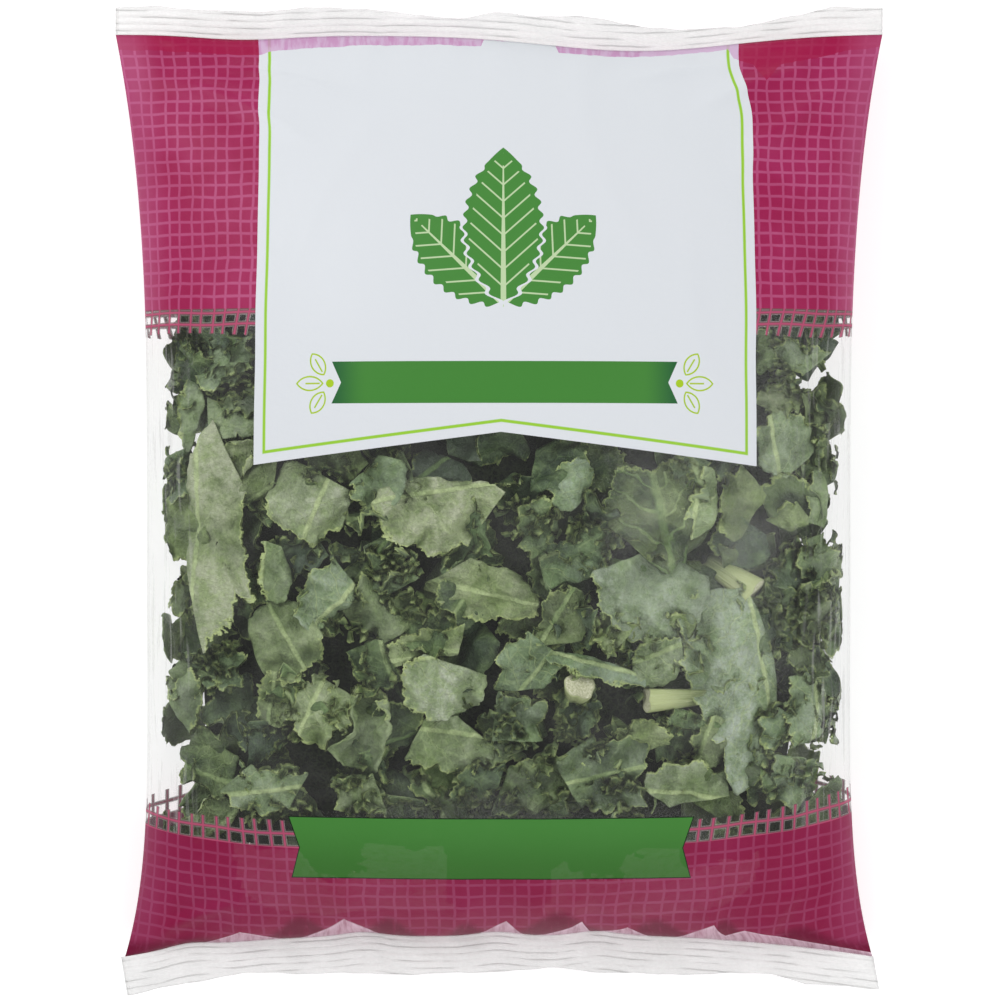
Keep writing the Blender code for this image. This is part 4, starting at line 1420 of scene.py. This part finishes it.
def blade_group():
    """A leaf's colour, relief, roughness and cover, from its flat place and its look."""
    tree, start, end = new_group(
        "kale blade",
        [("Place", "NodeSocketVector"), ("Look", "NodeSocketVector")],
        [
            ("Colour", "NodeSocketColor"),
            ("Height", "NodeSocketFloat"),
            ("Rough", "NodeSocketFloat"),
            ("Cover", "NodeSocketFloat"),
        ],
    )
    x, y, mixed = split(tree, start.outputs["Place"])
    rim, tone, pale = split(tree, start.outputs["Look"])
    thick = calc(tree, "FLOOR", mixed)
    seed = calc(tree, "FRACT", mixed)
    spot = join(tree, x, y, calc(tree, "MULTIPLY", seed, 40.0))
    middle, side = vein_masks(tree, x, y, thick, spot)
    wide_net = ramp(tree, cells(tree, spot, 0.22), 0.01, 0.07, 0.32, 0.0)
    fine_net = ramp(tree, cells(tree, spot, 0.75), 0.02, 0.16, 0.22, 0.0)
    bold = by_seed(tree, seed, 90.0, 0.4, 0.6)
    small = calc(tree, "MULTIPLY", either(tree, side, wide_net), bold)
    vein = either(tree, middle, small)
    patch = ramp(tree, noise(tree, spot, 0.09, 4.0, 0.6), 0.3, 0.7)
    speck = noise(tree, spot, 0.8, 4.0, 0.7)
    level = calc(tree, "ADD", tone, calc(tree, "MULTIPLY_ADD", patch, 0.6, -0.3))
    colour = blend(tree, level, *BLADE_COLOURS)
    waxy = ramp(tree, noise(tree, spot, 0.16, 6.0, 0.72), 0.36, 0.6)
    bloom = calc(tree, "MULTIPLY", pale, calc(tree, "MULTIPLY_ADD", waxy, 0.75, 0.3))
    colour = blend(tree, bloom, colour, BLOOM)
    hue = blend(tree, by_seed(tree, seed, 57.0, 0.5, 0.5), *HUES)
    colour = blend(tree, 1.0, colour, hue, "MULTIPLY")
    fine_colour = blend(tree, level, *NET_COLOURS)
    colour = blend(tree, calc(tree, "MULTIPLY", fine_net, bold), colour, fine_colour)
    vein_colour = blend(tree, level, *VEIN_COLOURS)
    colour = blend(tree, calc(tree, "MULTIPLY", vein, 0.9), colour, vein_colour)
    crumble = calc(tree, "SUBTRACT", noise(tree, spot, 0.55, 3.0, 0.6), 0.5)
    lace = calc(tree, "MULTIPLY_ADD", crumble, 1.25, rim)
    on_rim = calc(tree, "GREATER_THAN", rim, RIM_LEAST)
    outline = both(tree, ramp(tree, lace, RIM_PALE, 0.6), on_rim)
    rim_highlight_colour = blend(tree, level, *RIM_AND_HIGHLIGHT_COLOURS)
    # Pale rim: partly the paler margin of curly kale, partly painted highlight along its curled edge.
    colour = blend(tree, calc(tree, "MULTIPLY", outline, 0.85), colour, rim_highlight_colour)
    shade = calc(tree, "MULTIPLY_ADD", speck, SPECK_GAIN, SPECK_BASE)
    colour = blend(tree, 1.0, colour, join(tree, shade, shade, shade), "MULTIPLY")
    tree.links.new(colour, end.inputs["Colour"])
    net = calc(tree, "ADD", calc(tree, "MULTIPLY", vein, 0.6), calc(tree, "MULTIPLY", fine_net, 0.8))
    height = calc(tree, "ADD", net, calc(tree, "MULTIPLY", noise(tree, spot, 0.33, 4.0, 0.6), 3.0))
    tree.links.new(height, end.inputs["Height"])
    tree.links.new(calc(tree, "MULTIPLY_ADD", speck, 0.3, 0.36), end.inputs["Rough"])
    gone = both(tree, calc(tree, "GREATER_THAN", lace, RIM_GONE), on_rim)
    tree.links.new(calc(tree, "SUBTRACT", 1.0, gone), end.inputs["Cover"])
    return tree


BLADE = blade_group()
print("kale blade group:", len(BLADE.nodes), "nodes")


def leaf_material(name, lighter):
    """Kale skin. lighter mixes in the pale colour of an underside or of a fresh cut."""
    made, shader = new_material(name, 0.5, IOR=1.42)
    tree = made.node_tree
    blade = use_group(tree, BLADE, Place=attribute(tree, "leaf_place"), Look=attribute(tree, "leaf_look"))
    colour = blend(tree, lighter, blade["Colour"], PALE_SIDE)
    tree.links.new(colour, shader.inputs["Base Color"])
    tree.links.new(blade["Rough"], shader.inputs["Roughness"])
    tree.links.new(blade["Cover"], shader.inputs["Alpha"])
    bumped(tree, shader, blade["Height"], 0.0007, 0.9)
    return made


KALE_SKINS = [
    leaf_material("kale upper side", 0.0),
    leaf_material("kale underside", 0.18),
    leaf_material("kale cut edge", 0.4),
]

# %% [markdown]
# One object can hold many pieces. Its grids are made first, each is then bent by the formulas, and
# Solidify gives the sheets their wall, with the pale underside and the cut edge as its materials.

# %% Leaf meshes
# How much painted light lifts a leaf's tone where it touches the film, and how far that reaches
TOUCH_PAINTED_LIGHT, TOUCH_REACH = 0.22, 2.6


def film_touch(places, back):
    """1 where a leaf touches the film, and 0 well away. It drives painted light and shade."""
    x, y, z = places.T
    s = share_at(x, y)
    gap = z - back_height(x, s) if back else front_height(x, s) - z
    return np.exp(-np.clip(gap - 1.0, 0, None) / TOUCH_REACH)


def kale_object(name, pieces, cells_each, dice, back=False, shape=leaf_sheet):
    """One object that holds these pieces, each with about this many cells."""
    bm = bmesh.new()
    counts = []
    for piece in pieces:
        columns = max(6, round(math.sqrt(cells_each * piece.length / piece.width)))
        rows = max(5, round(cells_each / columns))
        bmesh.ops.create_grid(bm, x_segments=columns, y_segments=rows, size=1.0)
        counts.append((columns + 1) * (rows + 1))
    obj = finished(name, bm, KALE_SKINS)
    mesh = obj.data
    grid = np.empty(len(mesh.vertices) * 3)
    mesh.vertices.foreach_get("co", grid)
    parts = np.split(grid.reshape(-1, 3), np.cumsum(counts)[:-1])
    placed, flat, look = [], [], []
    for piece, part in zip(pieces, parts):
        places, flat_x, flat_y, rim = shape(part[:, 0], part[:, 1], piece, dice)
        seed = np.full_like(rim, piece.bold + 0.98 * dice.random())
        places = pressed(laid(places, piece, back), 0.8 + 0.12 * piece.depth)
        touch = film_touch(places, back)
        # Painted light and shade: leaves are lighter where they touch the film and darker deeper in. The
        # waxy bloom shows more near the film too.
        tone = piece.tone + TOUCH_PAINTED_LIGHT * touch - 0.12
        pale = piece.pale * (0.4 + 0.9 * touch)
        placed.append(places)
        flat.append(np.stack([flat_x, flat_y, seed], axis=-1))
        look.append(np.stack([rim, tone, pale], axis=-1))
    mesh.vertices.foreach_set("co", (np.concatenate(placed) * MM).ravel())
    for label, values in (("leaf_place", flat), ("leaf_look", look)):
        layer = mesh.attributes.new(label, "FLOAT_VECTOR", "POINT")
        layer.data.foreach_set("vector", np.concatenate(values).ravel())
    mesh.update()
    wall = obj.modifiers.new("leaf thickness", "SOLIDIFY")
    wall.thickness = LEAF_WALL * MM
    wall.offset = -1.0
    wall.material_offset = 1
    wall.material_offset_rim = 2
    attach(obj, "root")
    return obj


# %% [markdown]
# ## The pieces that the window shows
#
# The large pieces are set one by one: long panels down the sides, the broad smooth ones in the
# middle, the pale one with straight cuts, the rolled one below it, and dense curls at the bottom.

# %% Front pieces
FRONT = (
    Piece(-92, -10, 75, 23, 87, 2, 0, 0.8, -130, 6, -0.5, 0.7, 0.6, 2, "leaf_left_long", -0.25, -2),
    Piece(-83, 14, 15, 14, 20, 1.5, frill=0.5, edge=ALL_ROUND, curl=3.4, tone=0.7, pale=0.5),
    Piece(-80, 8, 24, 22, 35, 4.0, rib=-7, tone=0.5, pale=0.25),
    Piece(-60.5, 0, 28, 27, 68, frill=0.2, edge=180, rib=-3, tone=0.85, pale=0.7, node="leaf_under_label"),
    Piece(-38.5, 5, 22, 16, 60, 2.5, frill=0.3, edge=180, rib=9, tone=0.6, pale=0.3),
    Piece(-17, -5, 45, 24, 8, 1.8, 4, 0.9, -120, 8, -0.3, 0.85, 0.8, 1, "leaf_pale_curl", -0.35, 2),
    Piece(-72, -22, 22, 12, 86, 2.5, rib=4, tone=0.7, pale=0.35),
    Piece(-55, -29, 27, 17, 48, 1.8, 6, 0.7, 90, -5, -0.9, 0.8, 0.5, node="leaf_small_left"),
    Piece(-34, -23, 20, 16, 10, 3.5, frill=1.0, edge=ALL_ROUND, tone=0.45, pale=0.2),
    Piece(-7, -29, 40, 20, -14, 2.2, 5, 0.5, -90, 0, -0.7, 0.75, 0.5, node="leaf_mid_fold"),
    Piece(-89, 45, 26, 20, 10, 3, frill=1.1, edge=ALL_ROUND, tone=0.6, pale=0.4),
    Piece(-101, 28, 25, 10, 86, 2.5, frill=0.8, tone=0.65, pale=0.4),
    Piece(-86, 27, 22, 16, 0, 2.5, frill=1.1, edge=ALL_ROUND, tone=0.6, pale=0.4),
    Piece(23, 5, 17, 16, 60, 2.5, tone=0.7, pale=0.5),
    Piece(50, -6, 40, 31, 102, 1.8, 0, 0.4, 0, -2, -0.5, 0.22, 0.12, 2, "leaf_veined", 0.1, 0, 1),
    Piece(65, -2, 25, 11, 80, 2.5, rib=2, tone=0.85, pale=0.4),
    Piece(93, 19, 23, 21, 100, 2.5, 4, 0.5, 0, 4, -0.6, 0.75, 0.55),
    Piece(104, 0, 20, 9, 92, 3, tone=0.7, pale=0.4),
    Piece(78, 0, 26, 17, 76, 3.2, frill=0.5, edge=90, tone=0.6, pale=0.3, node="leaf_side_notch"),
    Piece(94, -5, 15, 10, 20, 3, frill=0.8, tone=0.6, pale=0.3),
    Piece(47, -30, 38, 31, -32, 2, 0, 0.35, -90, NO_RIB, -0.5, 0.7, 0.6, 2, "leaf_broad", 0.2),
    Piece(12, -8, 21, 14, 84, 3.5, frill=1.0, edge=ALL_ROUND, tone=0.5, pale=0.2),
    Piece(28, -15, 21, 18, 70, 4, frill=1.1, edge=ALL_ROUND, tone=0.35, pale=0.1),
    Piece(20, -38, 22, 17, 60, 3, frill=0.4, rib=2, tone=0.4, pale=0.2),
    Piece(92, 33, 20, 14, 20, 3, frill=1.2, edge=ALL_ROUND, tone=0.5, pale=0.3),
    Piece(96, 47, 25, 12, 5, 3, frill=0.9, edge=ALL_ROUND, tone=0.5, pale=0.3),
    Piece(97, -23, 21, 18, 40, 4, frill=0.9, edge=ALL_ROUND, tone=0.3, pale=0.1),
    Piece(-69, -46, 27, 25, -60, 2, frill=0.3, edge=0, rib=2, tone=0.62, pale=0.3, node="leaf_net_veined"),
    Piece(-73, -64, 18, 12, 80, 3, rib=0, tone=0.55, pale=0.3),
    Piece(-18, -58.5, 29, 22, 8, 1.2, 0, 0.1, 180, 9, -0.3, 0.9, 0.8, 3, "leaf_pale_cut"),
    Piece(-22, -46, 27, 12, 10, 2.5, frill=0.5, rib=-3, tone=0.6, pale=0.3),
    Piece(-42, -73, 29, 24, 82, 4.5, frill=0.2, edge=0, curl=4.4, tone=0.6, pale=0.3, node="leaf_rolled"),
    Piece(-57, -67, 26, 21, 65, 2, 0, 1.1, ALL_ROUND, 3, -0.3, 0.85, 0.5, node="leaf_curly_left"),
    Piece(-102, -65, 24, 13, 84, 3, frill=0.3, edge=ALL_ROUND, tone=0.55, pale=0.3),
    Piece(-91, -54, 21, 16, 0, 4, frill=0.9, edge=ALL_ROUND, tone=0.4, pale=0.2),
    Piece(-75, -94, 31, 17, 8, 2, 0, 1.2, ALL_ROUND, 0, -0.4, 0.75, 0.4, node="leaf_bottom_left"),
    Piece(-15, -79, 30, 19, -6, 2.4, 0, 0.9, -90, 5, -0.5, 0.65, 0.4, node="leaf_lower_mid"),
    Piece(-6, -91, 20, 15, 20, 4, frill=1.0, edge=ALL_ROUND, tone=0.3, pale=0.1),
    Piece(-45, -95, 20, 16, 10, 3, frill=1.1, edge=ALL_ROUND, tone=0.5, pale=0.25),
    Piece(-102, -32, 15, 13, 60, 3, frill=1.1, edge=ALL_ROUND, tone=0.5, pale=0.2),
    Piece(-38, -36, 31, 20, -8, 3, frill=1.2, edge=ALL_ROUND, tone=0.5, pale=0.25),
    Piece(77, -61, 66, 31, -77, 1.6, 0, 0.9, -110, 10, -0.4, 0.8, 0.75, 1, "leaf_right_long", -0.4, -4),
    Piece(100, -67, 26, 15, 84, 3, frill=0.2, rib=-4, tone=0.75, pale=0.5),
    Piece(95, -92, 22, 18, 10, 3, frill=0.9, edge=ALL_ROUND, tone=0.65, pale=0.4),
    Piece(51, -51, 18, 16, 20, 3, frill=0.4, rib=2, tone=0.5, pale=0.4),
    Piece(36, -42, 17, 13, 80, 2.6, frill=1.2, edge=ALL_ROUND, tone=0.8, pale=0.3),
    Piece(6, -70, 20, 18, 0, 2.6, frill=1.4, edge=ALL_ROUND, tone=0.5, pale=0.3),
    Piece(9, -52, 25, 19, 50, 2.4, 0, 1.0, 90, -4, -0.5, 0.6, 0.3, node="leaf_frill_mid"),
    Piece(31, -54, 32, 8, -15, 2.2, frill=0.6, edge=-90, rib=2, tone=0.7, pale=0.4),
    Piece(33, -88, 33, 28, 12, 2.2, 0, 1.3, ALL_ROUND, 0, -0.3, 0.4, 0.2, node="leaf_curly_low"),
    Piece(46, -76, 19, 14, 10, 3, frill=0.8, edge=ALL_ROUND, tone=0.6, pale=0.3),
    Piece(61, -92, 29, 17, -8, 2, 0, 0.5, 90, -3, -0.4, 0.75, 0.5, 3, "leaf_low_right"),
    Piece(13, -91, 33, 20, 25, 3.6, frill=0.9, edge=ALL_ROUND, tone=0.35, pale=0.15),
    Piece(68, -78, 17, 13, 70, 3, frill=0.6, rib=2, tone=0.6, pale=0.35),
    Piece(101, -38, 22, 18, 60, 3.5, frill=1.1, edge=ALL_ROUND, tone=0.4, pale=0.2),
    Piece(91, -74, 18, 13, 30, 3, frill=1.2, edge=ALL_ROUND, tone=0.6, pale=0.3),
    Piece(107, -72, 20, 9, 86, 3, frill=1.0, edge=ALL_ROUND, tone=0.35, pale=0.2),
    Piece(88, -38, 26, 22, 70, 5, frill=1.0, edge=ALL_ROUND, tone=0.35, pale=0.15),
    Piece(104, -20, 22, 15, 95, 2.5, frill=1.1, edge=ALL_ROUND, tone=0.45, pale=0.2),
    Piece(-104, 8, 20, 14, 80, 3, frill=1.0, edge=ALL_ROUND, tone=0.4, pale=0.2),
)

# Cells of a named piece, of a loose one, and of a ruffle
NAMED_CELLS, LOOSE_CELLS, RUFFLE_CELLS = 1500, 1050, 180
DENSE_FRILL = 0.85

dice = random.Random(61)
named = [piece for piece in FRONT if piece.node]
loose = [piece for piece in FRONT if not piece.node]
for piece in named:
    leaf = kale_object("kale_" + piece.node, [piece], NAMED_CELLS, dice)
    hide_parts(piece.node)
half = len(loose) // 2
front_loose = kale_object("kale_front_a", loose[:half], LOOSE_CELLS, dice)
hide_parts("kale_heap")
kale_object("kale_front_b", loose[half:], LOOSE_CELLS, dice)
curly = [piece for piece in FRONT if piece.edge == ALL_ROUND and piece.frill > DENSE_FRILL]
ruffles = [strip for piece in curly for strip in ruffles_on(piece, 5, dice)]
kale_object("kale_front_ruffles", ruffles, RUFFLE_CELLS, dice, shape=ruffle_sheet)
print("front pieces:", len(named), "named and", len(loose), "in two groups,", len(ruffles), "ruffles")

# %% [markdown]
# ## The heap behind them
#
# Deeper layers are drawn at random, with a seed. They fill the gaps, so that the eye finds curls in
# shadow there, and their tones are darker the deeper they lie: painted shade. The back film shows
# kale too, and so do the sides.

# %% Heap layers
# The spread: half the width, the middle and half the length
SPREAD_HALF, SPREAD_MIDDLE, SPREAD_LONG = 112, -22, 100


def scattered(count, reach, depth, size, tone):
    """Pieces spread evenly over the bag: count of them, to a share of its width and length."""
    found = []
    golden = (math.sqrt(5) - 1) / 2
    for k in range(count):
        across = 2 * ((k * golden + dice.uniform(-0.04, 0.04)) % 1) - 1
        up = 2 * (k + dice.random()) / count - 1
        x = across * SPREAD_HALF * reach
        y = SPREAD_MIDDLE + up * SPREAD_LONG * reach
        frill = dice.choice((0.5, 0.9, 1.2, 1.3))
        found.append(
            Piece(
                x,
                y,
                dice.uniform(*size),
                dice.uniform(*size) * 0.72,
                dice.uniform(0, 360),
                dice.uniform(*depth),
                dice.uniform(-28, 28),
                frill,
                ALL_ROUND if frill > 0.8 else dice.uniform(0, 360),
                dice.choice((NO_RIB, NO_RIB, dice.uniform(-6, 6))),
                dice.uniform(-1.4, 1.2),
                dice.uniform(*tone),
                dice.uniform(0.0, 0.3),
            )
        )
    return found


# Name, how many, reach, depth, size, tone, cells each, ruffles each, whether it is at the back
# The deeper layers have darker tones: painted shade.
LAYERS = (
    ("kale_second_layer", 84, 0.99, (3.5, 7.5), (17, 29), (0.05, 0.7), 400, 3, False),
    ("kale_third_layer", 72, 0.95, (8, 13), (22, 34), (0.0, 0.4), 160, 0, False),
    ("kale_back_layer", 56, 0.99, (2.5, 7), (22, 36), (0.2, 0.75), 240, 1, True),
    ("kale_back_inner", 34, 0.9, (9, 15), (28, 38), (0.0, 0.4), 110, 0, True),
)
for name, count, reach, depth, size, tone, cells_each, per_piece, back in LAYERS:
    pieces = scattered(count, reach, depth, size, tone)
    kale_object(name, pieces, cells_each, dice, back)
    curly = [piece for piece in pieces if piece.frill > 0.8]
    ruffles = [strip for piece in curly for strip in ruffles_on(piece, per_piece, dice)]
    if ruffles:
        kale_object(name + "_ruffles", ruffles, 140, dice, back, ruffle_sheet)
    print(name, count, "pieces,", len(ruffles), "ruffles")

# %% [markdown]
# The eye looks between the leaves into shadow. A dark lumpy core stands for the deepest ones, so
# that no light comes through from the back.

# %% Core of the heap
CORE_HALF = 98
# How far the core stays under the front film and over the back one
CORE_UNDER, CORE_OVER = 19, 14
CORE_DARK, CORE_CRUMB = (0.008, 0.014, 0.007), (0.035, 0.05, 0.02)

core_mesh = bmesh.new()
for front in (True, False):
    made = bmesh.ops.create_grid(core_mesh, x_segments=40, y_segments=44, size=1.0)
    for vert in made["verts"]:
        a, b = vert.co.x, vert.co.y
        s = np.float64(-0.13 + 0.66 * b * (1.15 - 0.15 * b * b))
        x = CORE_HALF * math.sin(a * math.pi / 2) * (1 - 0.18 * b**4)
        low, high = float(back_height(x, s)), float(front_height(x, s))
        middle = (low + high) / 2
        lump = 2.0 * math.sin(x / 7 + 1) * math.sin(b * 14)
        swell = max(0.0, (1 - abs(a) ** 3) * (1 - abs(b) ** 3)) ** 0.5
        room = high - middle - CORE_UNDER if front else middle - low - CORE_OVER
        tall = (room + lump) * swell
        vert.co = Vector((x, float(along(x, s)), middle + (tall if front else -tall))) * MM
    if not front:
        back_faces = {face for vert in made["verts"] for face in vert.link_faces}
        bmesh.ops.reverse_faces(core_mesh, faces=list(back_faces))
bmesh.ops.remove_doubles(core_mesh, verts=core_mesh.verts, dist=1e-6)
core_skin, core_shader = new_material("kale in shade", 0.8)
core_tree = core_skin.node_tree
core_place = core_tree.nodes.new("ShaderNodeTexCoord").outputs["Object"]
crumbs = cells(core_tree, core_place, 420.0)
core_colour = blend(core_tree, ramp(core_tree, crumbs, 0.0, 0.3), CORE_CRUMB, CORE_DARK)
core_tree.links.new(core_colour, core_shader.inputs["Base Color"])
bumped(core_tree, core_shader, noise(core_tree, core_place, 260.0, 4.0, 0.6), 0.003, 1.0)
core = finished("kale_core", core_mesh, [core_skin])
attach(core, "root")
print("core of the heap:", len(core.data.polygons), "faces")

# %% [markdown]
# ## Cut stems
#
# Three lengths of leaf stem lie among the leaves. A kale stem is a ridged green rod with a
# hollowed top, and its fresh cuts are cream, with a rough, wet grain.

# %% Stems
# The skin from its shaded end to its lit one, its streaks, and the grain of a cut
STEM_DARK, STEM_LIGHT, STEM_STREAK = (0.13, 0.18, 0.05), (0.50, 0.57, 0.26), (0.62, 0.68, 0.40)
CUT_DARK, CUT_LIGHT = (0.50, 0.52, 0.28), (0.84, 0.84, 0.64)
# How far the stems stay under the film
STEM_CLEAR = 1.0


def stem_material():
    made, shader = new_material("kale stem", 0.42, IOR=1.45)
    tree = made.node_tree
    place = attribute(tree, "leaf_place")
    x, y, cut = split(tree, place)
    drawn_out = join(tree, calc(tree, "MULTIPLY", x, 0.12), calc(tree, "MULTIPLY", y, 1.6))
    streak = noise(tree, drawn_out, 1.0, 3.0)
    light = blend(tree, ramp(tree, x, -9.0, 7.0), STEM_DARK, STEM_LIGHT)
    colour = blend(tree, ramp(tree, streak, 0.3, 0.75, 0.0, 0.35), light, STEM_STREAK)
    grain = noise(tree, join(tree, x, y), 1.4, 4.0, 0.7)
    face = blend(tree, ramp(tree, grain, 0.35, 0.65), CUT_DARK, CUT_LIGHT)
    colour = blend(tree, cut, colour, face)
    tree.links.new(colour, shader.inputs["Base Color"])
    height = calc(tree, "ADD", calc(tree, "MULTIPLY", streak, 0.8), both(tree, cut, grain))
    bumped(tree, shader, height, 0.0006, 0.8)
    return made


STEM = stem_material()


def stem_piece(node, x, y, length, diameter, turn, depth, lean=0.0):
    """A ridged rod, thicker at its +x end. turn and lean are degrees, and lean tips that end up."""
    bm = bmesh.new()
    bmesh.ops.create_cone(bm, cap_ends=True, segments=28, radius1=1, radius2=1, depth=2)
    sides = [edge for edge in bm.edges if abs(edge.verts[0].co.z - edge.verts[1].co.z) > 1]
    bmesh.ops.subdivide_edges(bm, edges=sides, cuts=14, use_grid_fill=True)
    caps = [face for face in bm.faces if len(face.verts) > 4]
    for share in (0.10, 0.25, 0.25, 0.2):
        bmesh.ops.inset_individual(bm, faces=caps, thickness=share, use_even_offset=True)
    place_layer = bm.verts.layers.float_vector.new("leaf_place")
    look_layer = bm.verts.layers.float_vector.new("leaf_look")
    spin = Matrix.Rotation(math.radians(turn), 3, "Z") @ Matrix.Rotation(math.radians(-lean), 3, "Y")
    for vert in bm.verts:
        px, py, run = vert.co
        way = math.atan2(py, px)
        reach = math.hypot(px, py)
        ridge = 1 + 0.05 * math.cos(5 * way) + 0.03 * math.cos(9 * way + 1)
        ridge -= 0.22 * max(0.0, math.sin(way)) ** 6
        radius = diameter / 2 * (0.88 + 0.22 * run) * ridge
        ragged = 0.35 * math.sin(3.1 * px + 2 * py) * (1 if abs(run) > 0.99 else 0)
        local = Vector(
            (
                run * length / 2 + ragged,
                px * radius,
                py * radius + 0.6 * math.cos(run * 1.5),
            )
        )
        vert[place_layer] = (run * length / 2, way * diameter / 2, 0.0)
        if abs(run) > 0.99 and reach < 0.985:
            vert[place_layer] = (px * diameter / 2, py * diameter / 2, 1.0)
        vert[look_layer] = (0, 0.8, 0.5)
        vert.co = spin @ local
    base = Vector((x, y, float(front_height(x, share_at(x, y))) - depth))
    places = np.array([vert.co + base for vert in bm.verts])
    film = front_height(places[:, 0], share_at(places[:, 0], places[:, 1]))
    base.z -= max(0.0, float((places[:, 2] - film).max()) + STEM_CLEAR)
    for vert in bm.verts:
        vert.co = (vert.co + base) * MM
    bmesh.ops.recalc_face_normals(bm, faces=bm.faces)
    stem = finished("kale_" + node, bm, [STEM])
    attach(stem, "root")
    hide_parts(node)


# Node, x, y, length, diameter, turn, depth and lean
STEMS = (
    ("stem_cut_right", 75, -25, 19, 9, -34, 5.0, 20),
    ("stem_cut_low", 57, -63.5, 21, 7, 182, 5.5, 20),
    ("stem_end_middle", 25, -61, 9, 9, 70, 5.5, 62),
)
for row in STEMS:
    stem_piece(*row)
print("stems:", len(STEMS))

# %% [markdown]
# ## Camera and light
#
# The bag is seen from straight above, through a long lens, so that its sides stay parallel. Three
# large soft lights stand round it. The floor glows a little, so that it is as white as the light
# tables that such bags are photographed on, and the bag throws hardly any shadow.

# %% Camera and light
# Metres, and watts for the lamps
CAMERA_PLACE, LENS, SENSOR = (0.0004, 0.0, 0.91), 96.7, 36
LAMP_AIM = Vector((0, 0, 0.03))
# Name, place, size and power
LAMPS = (
    ("key", (-0.7, 0.65, 0.9), (0.6, 0.6), 7.0),
    ("fill", (0.75, 0.0, 0.85), (0.6, 0.9), 3.7),
    ("low", (0.1, -0.95, 0.6), (0.9, 0.4), 1.8),
)
WORLD_STRENGTH = 0.42
FLOOR_SIZE, FLOOR_GREY, FLOOR_GLOW = 4.0, 0.60, 0.62
WHITE = (1, 1, 1, 1)

camera_data = bpy.data.cameras.new("camera")
camera_data.sensor_width = SENSOR
camera_data.lens = LENS
camera = bpy.data.objects.new("camera", camera_data)
camera.location = CAMERA_PLACE
bpy.context.scene.collection.objects.link(camera)
bpy.context.scene.camera = camera


def soft_light(name, place, size, power):
    """A rectangular lamp that shines on the bag."""
    data = bpy.data.lights.new(name, "AREA")
    data.shape = "RECTANGLE"
    data.size, data.size_y = size
    data.energy = power
    lamp = bpy.data.objects.new(name, data)
    lamp.location = place
    lamp.rotation_euler = (LAMP_AIM - Vector(place)).to_track_quat("-Z", "Y").to_euler()
    bpy.context.scene.collection.objects.link(lamp)


for row in LAMPS:
    soft_light(*row)

world = bpy.data.worlds.new("studio")
world.use_nodes = True
background = world.node_tree.nodes["Background"]
background.inputs["Color"].default_value = WHITE
background.inputs["Strength"].default_value = WORLD_STRENGTH
bpy.context.scene.world = world
bpy.context.scene.view_settings.view_transform = "Standard"

floor_mesh = bmesh.new()
bmesh.ops.create_grid(floor_mesh, x_segments=1, y_segments=1, size=FLOOR_SIZE)
floor_paint, floor_shader = new_material("floor", 0.9)
floor_shader.inputs["Base Color"].default_value = (FLOOR_GREY, FLOOR_GREY, FLOOR_GREY, 1)
floor_shader.inputs["Emission Color"].default_value = WHITE
floor_shader.inputs["Emission Strength"].default_value = FLOOR_GLOW
floor = finished("floor", floor_mesh, [floor_paint], smooth=False)
print("camera", CAMERA_PLACE[2], "m above the floor,", len(LAMPS), "lamps")
